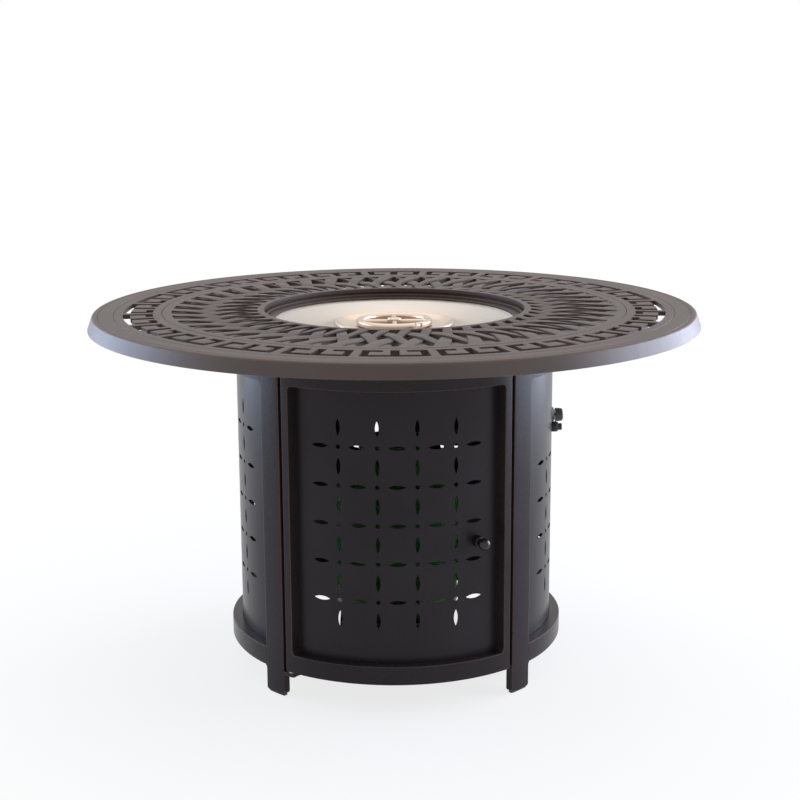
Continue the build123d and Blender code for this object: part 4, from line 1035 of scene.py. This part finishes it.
# Screws
def screw_head():
    """Pan head with a cross recess, standing on the origin and facing +Z."""
    outline = [(4.0, 0.0), (4.0, 1.2), (3.6, 2.0), (2.4, 2.45)]
    head = lathe("screw_head", in_metres(outline), 16, closed=False)
    work = bmesh.new()
    work.from_mesh(head.data)
    rim = [edge for edge in work.edges if edge.is_boundary and edge.verts[0].co.z > 2 * MM]
    top = bmesh.ops.contextual_create(work, geom=rim)["faces"]
    bmesh.ops.inset_region(work, faces=top, thickness=0.5 * MM)
    hub = bmesh.ops.poke(work, faces=top)["faces"]
    arms = [face for index, face in enumerate(hub) if index % 4 == 0]
    sunk = bmesh.ops.extrude_face_region(work, geom=arms)
    bmesh.ops.delete(work, geom=arms, context="FACES_ONLY")
    bmesh.ops.translate(work, verts=[part for part in sunk["geom"] if isinstance(part, bmesh.types.BMVert)],
                        vec=(0, 0, -1.0 * MM))
    work.to_mesh(head.data)
    work.free()
    return head


class FIREPIT_OT_screws(bpy.types.Operator):
    """Sets cross head screws along the rails, the door and the pan flange"""
    bl_idname = "firepit.screws"
    bl_label = "Screws"

    def execute(self, context):
        head = screw_head()
        spots = {"panel_screws": [], "door_screws": [], "pan_screws": []}
        for bay in (0, 90, 180, 270):
            name = "door_screws" if bay == 0 else "panel_screws"
            for angle in RAIL_SCREW_ANGLES:
                out = around(1, math.radians(bay + angle))
                for level in RAIL_SCREW_LEVELS:
                    spots[name].append((out * (PANEL_INNER - 0.1 * MM) + Vector((0, 0, level)), -out))
        for index in range(PAN_SCREWS):
            spot = around(PAN_SCREW_RADIUS, math.tau * (index + 0.5) / PAN_SCREWS, PAN_UNDER)
            spots["pan_screws"].append((spot, Vector((0, 0, -1))))
        for name, body in (("panel_screws", "base"), ("door_screws", "door"), ("pan_screws", "base")):
            points = [point for point, way in spots[name]]
            ways = [way for point, way in spots[name]]
            piece = set_around(points, ways, head, "zinc_plated_steel", name + "_crossed")
            hand_over(piece, body, "zinc_plated_steel", "zinc_steel", name)
        bpy.data.objects.remove(head)
        return {"FINISHED"}


# Gas cylinder
class FIREPIT_OT_cylinder(bpy.types.Operator):
    """Paints the gas cylinder, welds its seam and finishes its valve"""
    bl_idname = "firepit.cylinder"
    bl_label = "Gas cylinder"

    def execute(self, context):
        sizes = context.scene.firepit_cylinder
        bead = [Vector((CYLINDER_RADIUS + sizes.seam_bead * 0.45 * math.cos(bend),
                        CYLINDER_SEAM + sizes.seam_bead * math.sin(bend)))
                for bend in [math.tau * step / 12 for step in range(12)]]

        def ripple(turn, radius, height):
            return WELD_RIPPLE * math.sin(turn * WELD_RIPPLES) if radius > CYLINDER_RADIUS else 0.0

        seam = lathe("cylinder_weld_seam", bead, 240, flute=ripple)
        hand_over(seam, "base", "green_cylinder_enamel", "green_paint")
        soften_solid("cylinder_collar", 1.0 * MM, "base", "green_cylinder_enamel", "green_paint")
        soften_solid("cylinder_handwheel", 1.2 * MM, "handwheel", "moulded_black_plastic", "black_plastic")
        dress("green_cylinder_enamel", "cylinder_body", "cylinder_foot_ring")
        dress("machined_brass", "cylinder_valve")
        return {"FINISHED"}


# Stage
def white_rays(tree):
    """1 for the rays that see the background itself: from the camera, mirrored or passed through."""
    rays = put(tree, "ShaderNodeLightPath").outputs
    direct = put(tree, "ShaderNodeMath", {0: rays["Is Camera Ray"], 1: rays["Is Glossy Ray"]},
                 operation="MAXIMUM").outputs["Value"]
    return put(tree, "ShaderNodeMath", {0: direct, 1: rays["Is Transmission Ray"]},
               operation="MAXIMUM").outputs["Value"]


class FIREPIT_OT_stage(bpy.types.Operator):
    """Lays the pale floor, hangs the soft lights and sets the camera"""
    bl_idname = "firepit.stage"
    bl_label = "Stage"

    def execute(self, context):
        sizes = context.scene.firepit_stage
        half = sizes.floor_half
        corners = [(-half, -half, 0), (half, -half, 0), (half, half, 0), (-half, half, 0)]
        floor = mesh_piece("studio_floor", corners, [(0, 1, 2, 3)])
        material, tree, place = fresh_material("studio_floor_paper")
        away = put(tree, "ShaderNodeVectorMath", {0: place}, operation="LENGTH").outputs["Value"]
        # Paper under the table takes its shadow and turns to plain white further out
        stretch = {"Value": away, "From Min": 0.3, "From Max": 1.5, "To Min": 0.78}
        fade = put(tree, "ShaderNodeMapRange", stretch, interpolation_type="SMOOTHSTEP").outputs["Result"]
        paper = put(tree, "ShaderNodeBsdfDiffuse", {"Color": shade(sizes.floor_tint, 1.0)})
        white = put(tree, "ShaderNodeEmission", {"Strength": 1.0})
        share = put(tree, "ShaderNodeMath", {0: fade, 1: white_rays(tree)}, operation="MULTIPLY")
        both = put(tree, "ShaderNodeMixShader", {
            0: share.outputs["Value"], 1: paper.outputs["BSDF"], 2: white.outputs["Emission"]})
        put(tree, "ShaderNodeOutputMaterial", {"Surface": both.outputs["Shader"]})
        floor.data.materials.append(material)

        world = bpy.data.worlds.new("studio_air")
        world.use_nodes = True
        tree = world.node_tree
        tree.nodes.clear()
        strength = put(tree, "ShaderNodeMapRange", {"Value": white_rays(tree), "To Min": 0.35, "To Max": 1.0})
        air = put(tree, "ShaderNodeBackground", {
            "Color": (1, 1, 1, 1), "Strength": strength.outputs["Result"]})
        put(tree, "ShaderNodeOutputWorld", {"Surface": air.outputs["Background"]})
        context.scene.world = world

        # Name, place, aim, width, height, watts and colour
        lamps = [("overhead_softbox", (0.0, 0.9, 3.2), (0.0, 0.1, 0.6), 4.4, 4.4, 46.0, "#fff6ee"),
                 ("left_softbox", (-2.7, 0.8, 0.9), (-0.3, 0.0, 0.5), 2.6, 2.0, 78.0, "#c6daff"),
                 ("right_softbox", (2.6, 0.6, 0.9), (0.3, 0.0, 0.5), 3.0, 2.0, 140.0, "#d6e2fb")]
        for name, spot, target, width, height, power, glow in lamps:
            light = bpy.data.lights.new(name, "AREA")
            light.shape = "RECTANGLE"
            light.size = width
            light.size_y = height
            light.energy = power
            light.color = linear(glow)
            lamp = bpy.data.objects.new(name, light)
            lamp.location = spot
            lamp.rotation_euler = (Vector(target) - Vector(spot)).to_track_quat("-Z", "Y").to_euler()
            context.scene.collection.objects.link(lamp)

        lens = bpy.data.cameras.new("photo_camera")
        lens.sensor_width = CAMERA_SENSOR
        lens.lens = CAMERA_LENS
        camera = bpy.data.objects.new("photo_camera", lens)
        camera.location = CAMERA_PLACE
        turn = Matrix.Rotation(CAMERA_TURN, 4, "Z") @ Matrix.Rotation(math.pi / 2 + CAMERA_TILT, 4, "X")
        camera.rotation_euler = (turn @ Matrix.Rotation(CAMERA_ROLL, 4, "Z")).to_euler()
        context.scene.collection.objects.link(camera)
        context.scene.camera = camera
        context.scene.view_settings.view_transform = "Standard"
        return {"FINISHED"}


class FIREPIT_PT_sidebar(bpy.types.Panel):
    """Lists the steps that make the fire pit table"""
    bl_idname = "FIREPIT_PT_sidebar"
    bl_label = "Fire Pit"
    bl_space_type = "VIEW_3D"
    bl_region_type = "UI"
    bl_category = "Fire Pit"

    def draw(self, context):
        for step in STEPS:
            self.layout.operator(step.bl_idname)
        for group in GROUPS:
            sizes = getattr(context.scene, group)
            for name in sizes.__annotations__:
                self.layout.prop(sizes, name)


STEPS = [FIREPIT_OT_cast_top, FIREPIT_OT_cabinet, FIREPIT_OT_door, FIREPIT_OT_burner, FIREPIT_OT_controls,
         FIREPIT_OT_screws, FIREPIT_OT_cylinder, FIREPIT_OT_stage]
GROUPS = {"firepit_top": CastTopSizes, "firepit_cabinet": CabinetSizes, "firepit_burner": BurnerSizes,
          "firepit_controls": ControlSizes, "firepit_cylinder": CylinderSizes, "firepit_stage": StageSizes}
CLASSES = [*GROUPS.values(), *STEPS, FIREPIT_PT_sidebar]


def register():
    for kind in CLASSES:
        bpy.utils.register_class(kind)
    for name, group in GROUPS.items():
        setattr(bpy.types.Scene, name, bpy.props.PointerProperty(type=group))


def unregister():
    for name in GROUPS:
        delattr(bpy.types.Scene, name)
    for kind in reversed(CLASSES):
        bpy.utils.unregister_class(kind)


def main():
    register()
    bpy.ops.firepit.cast_top()
    bpy.ops.firepit.cabinet()
    bpy.ops.firepit.door()
    bpy.ops.firepit.burner()
    bpy.ops.firepit.controls()
    bpy.ops.firepit.screws()
    bpy.ops.firepit.cylinder()
    bpy.ops.firepit.stage()


if __name__ == "__main__":
    main()
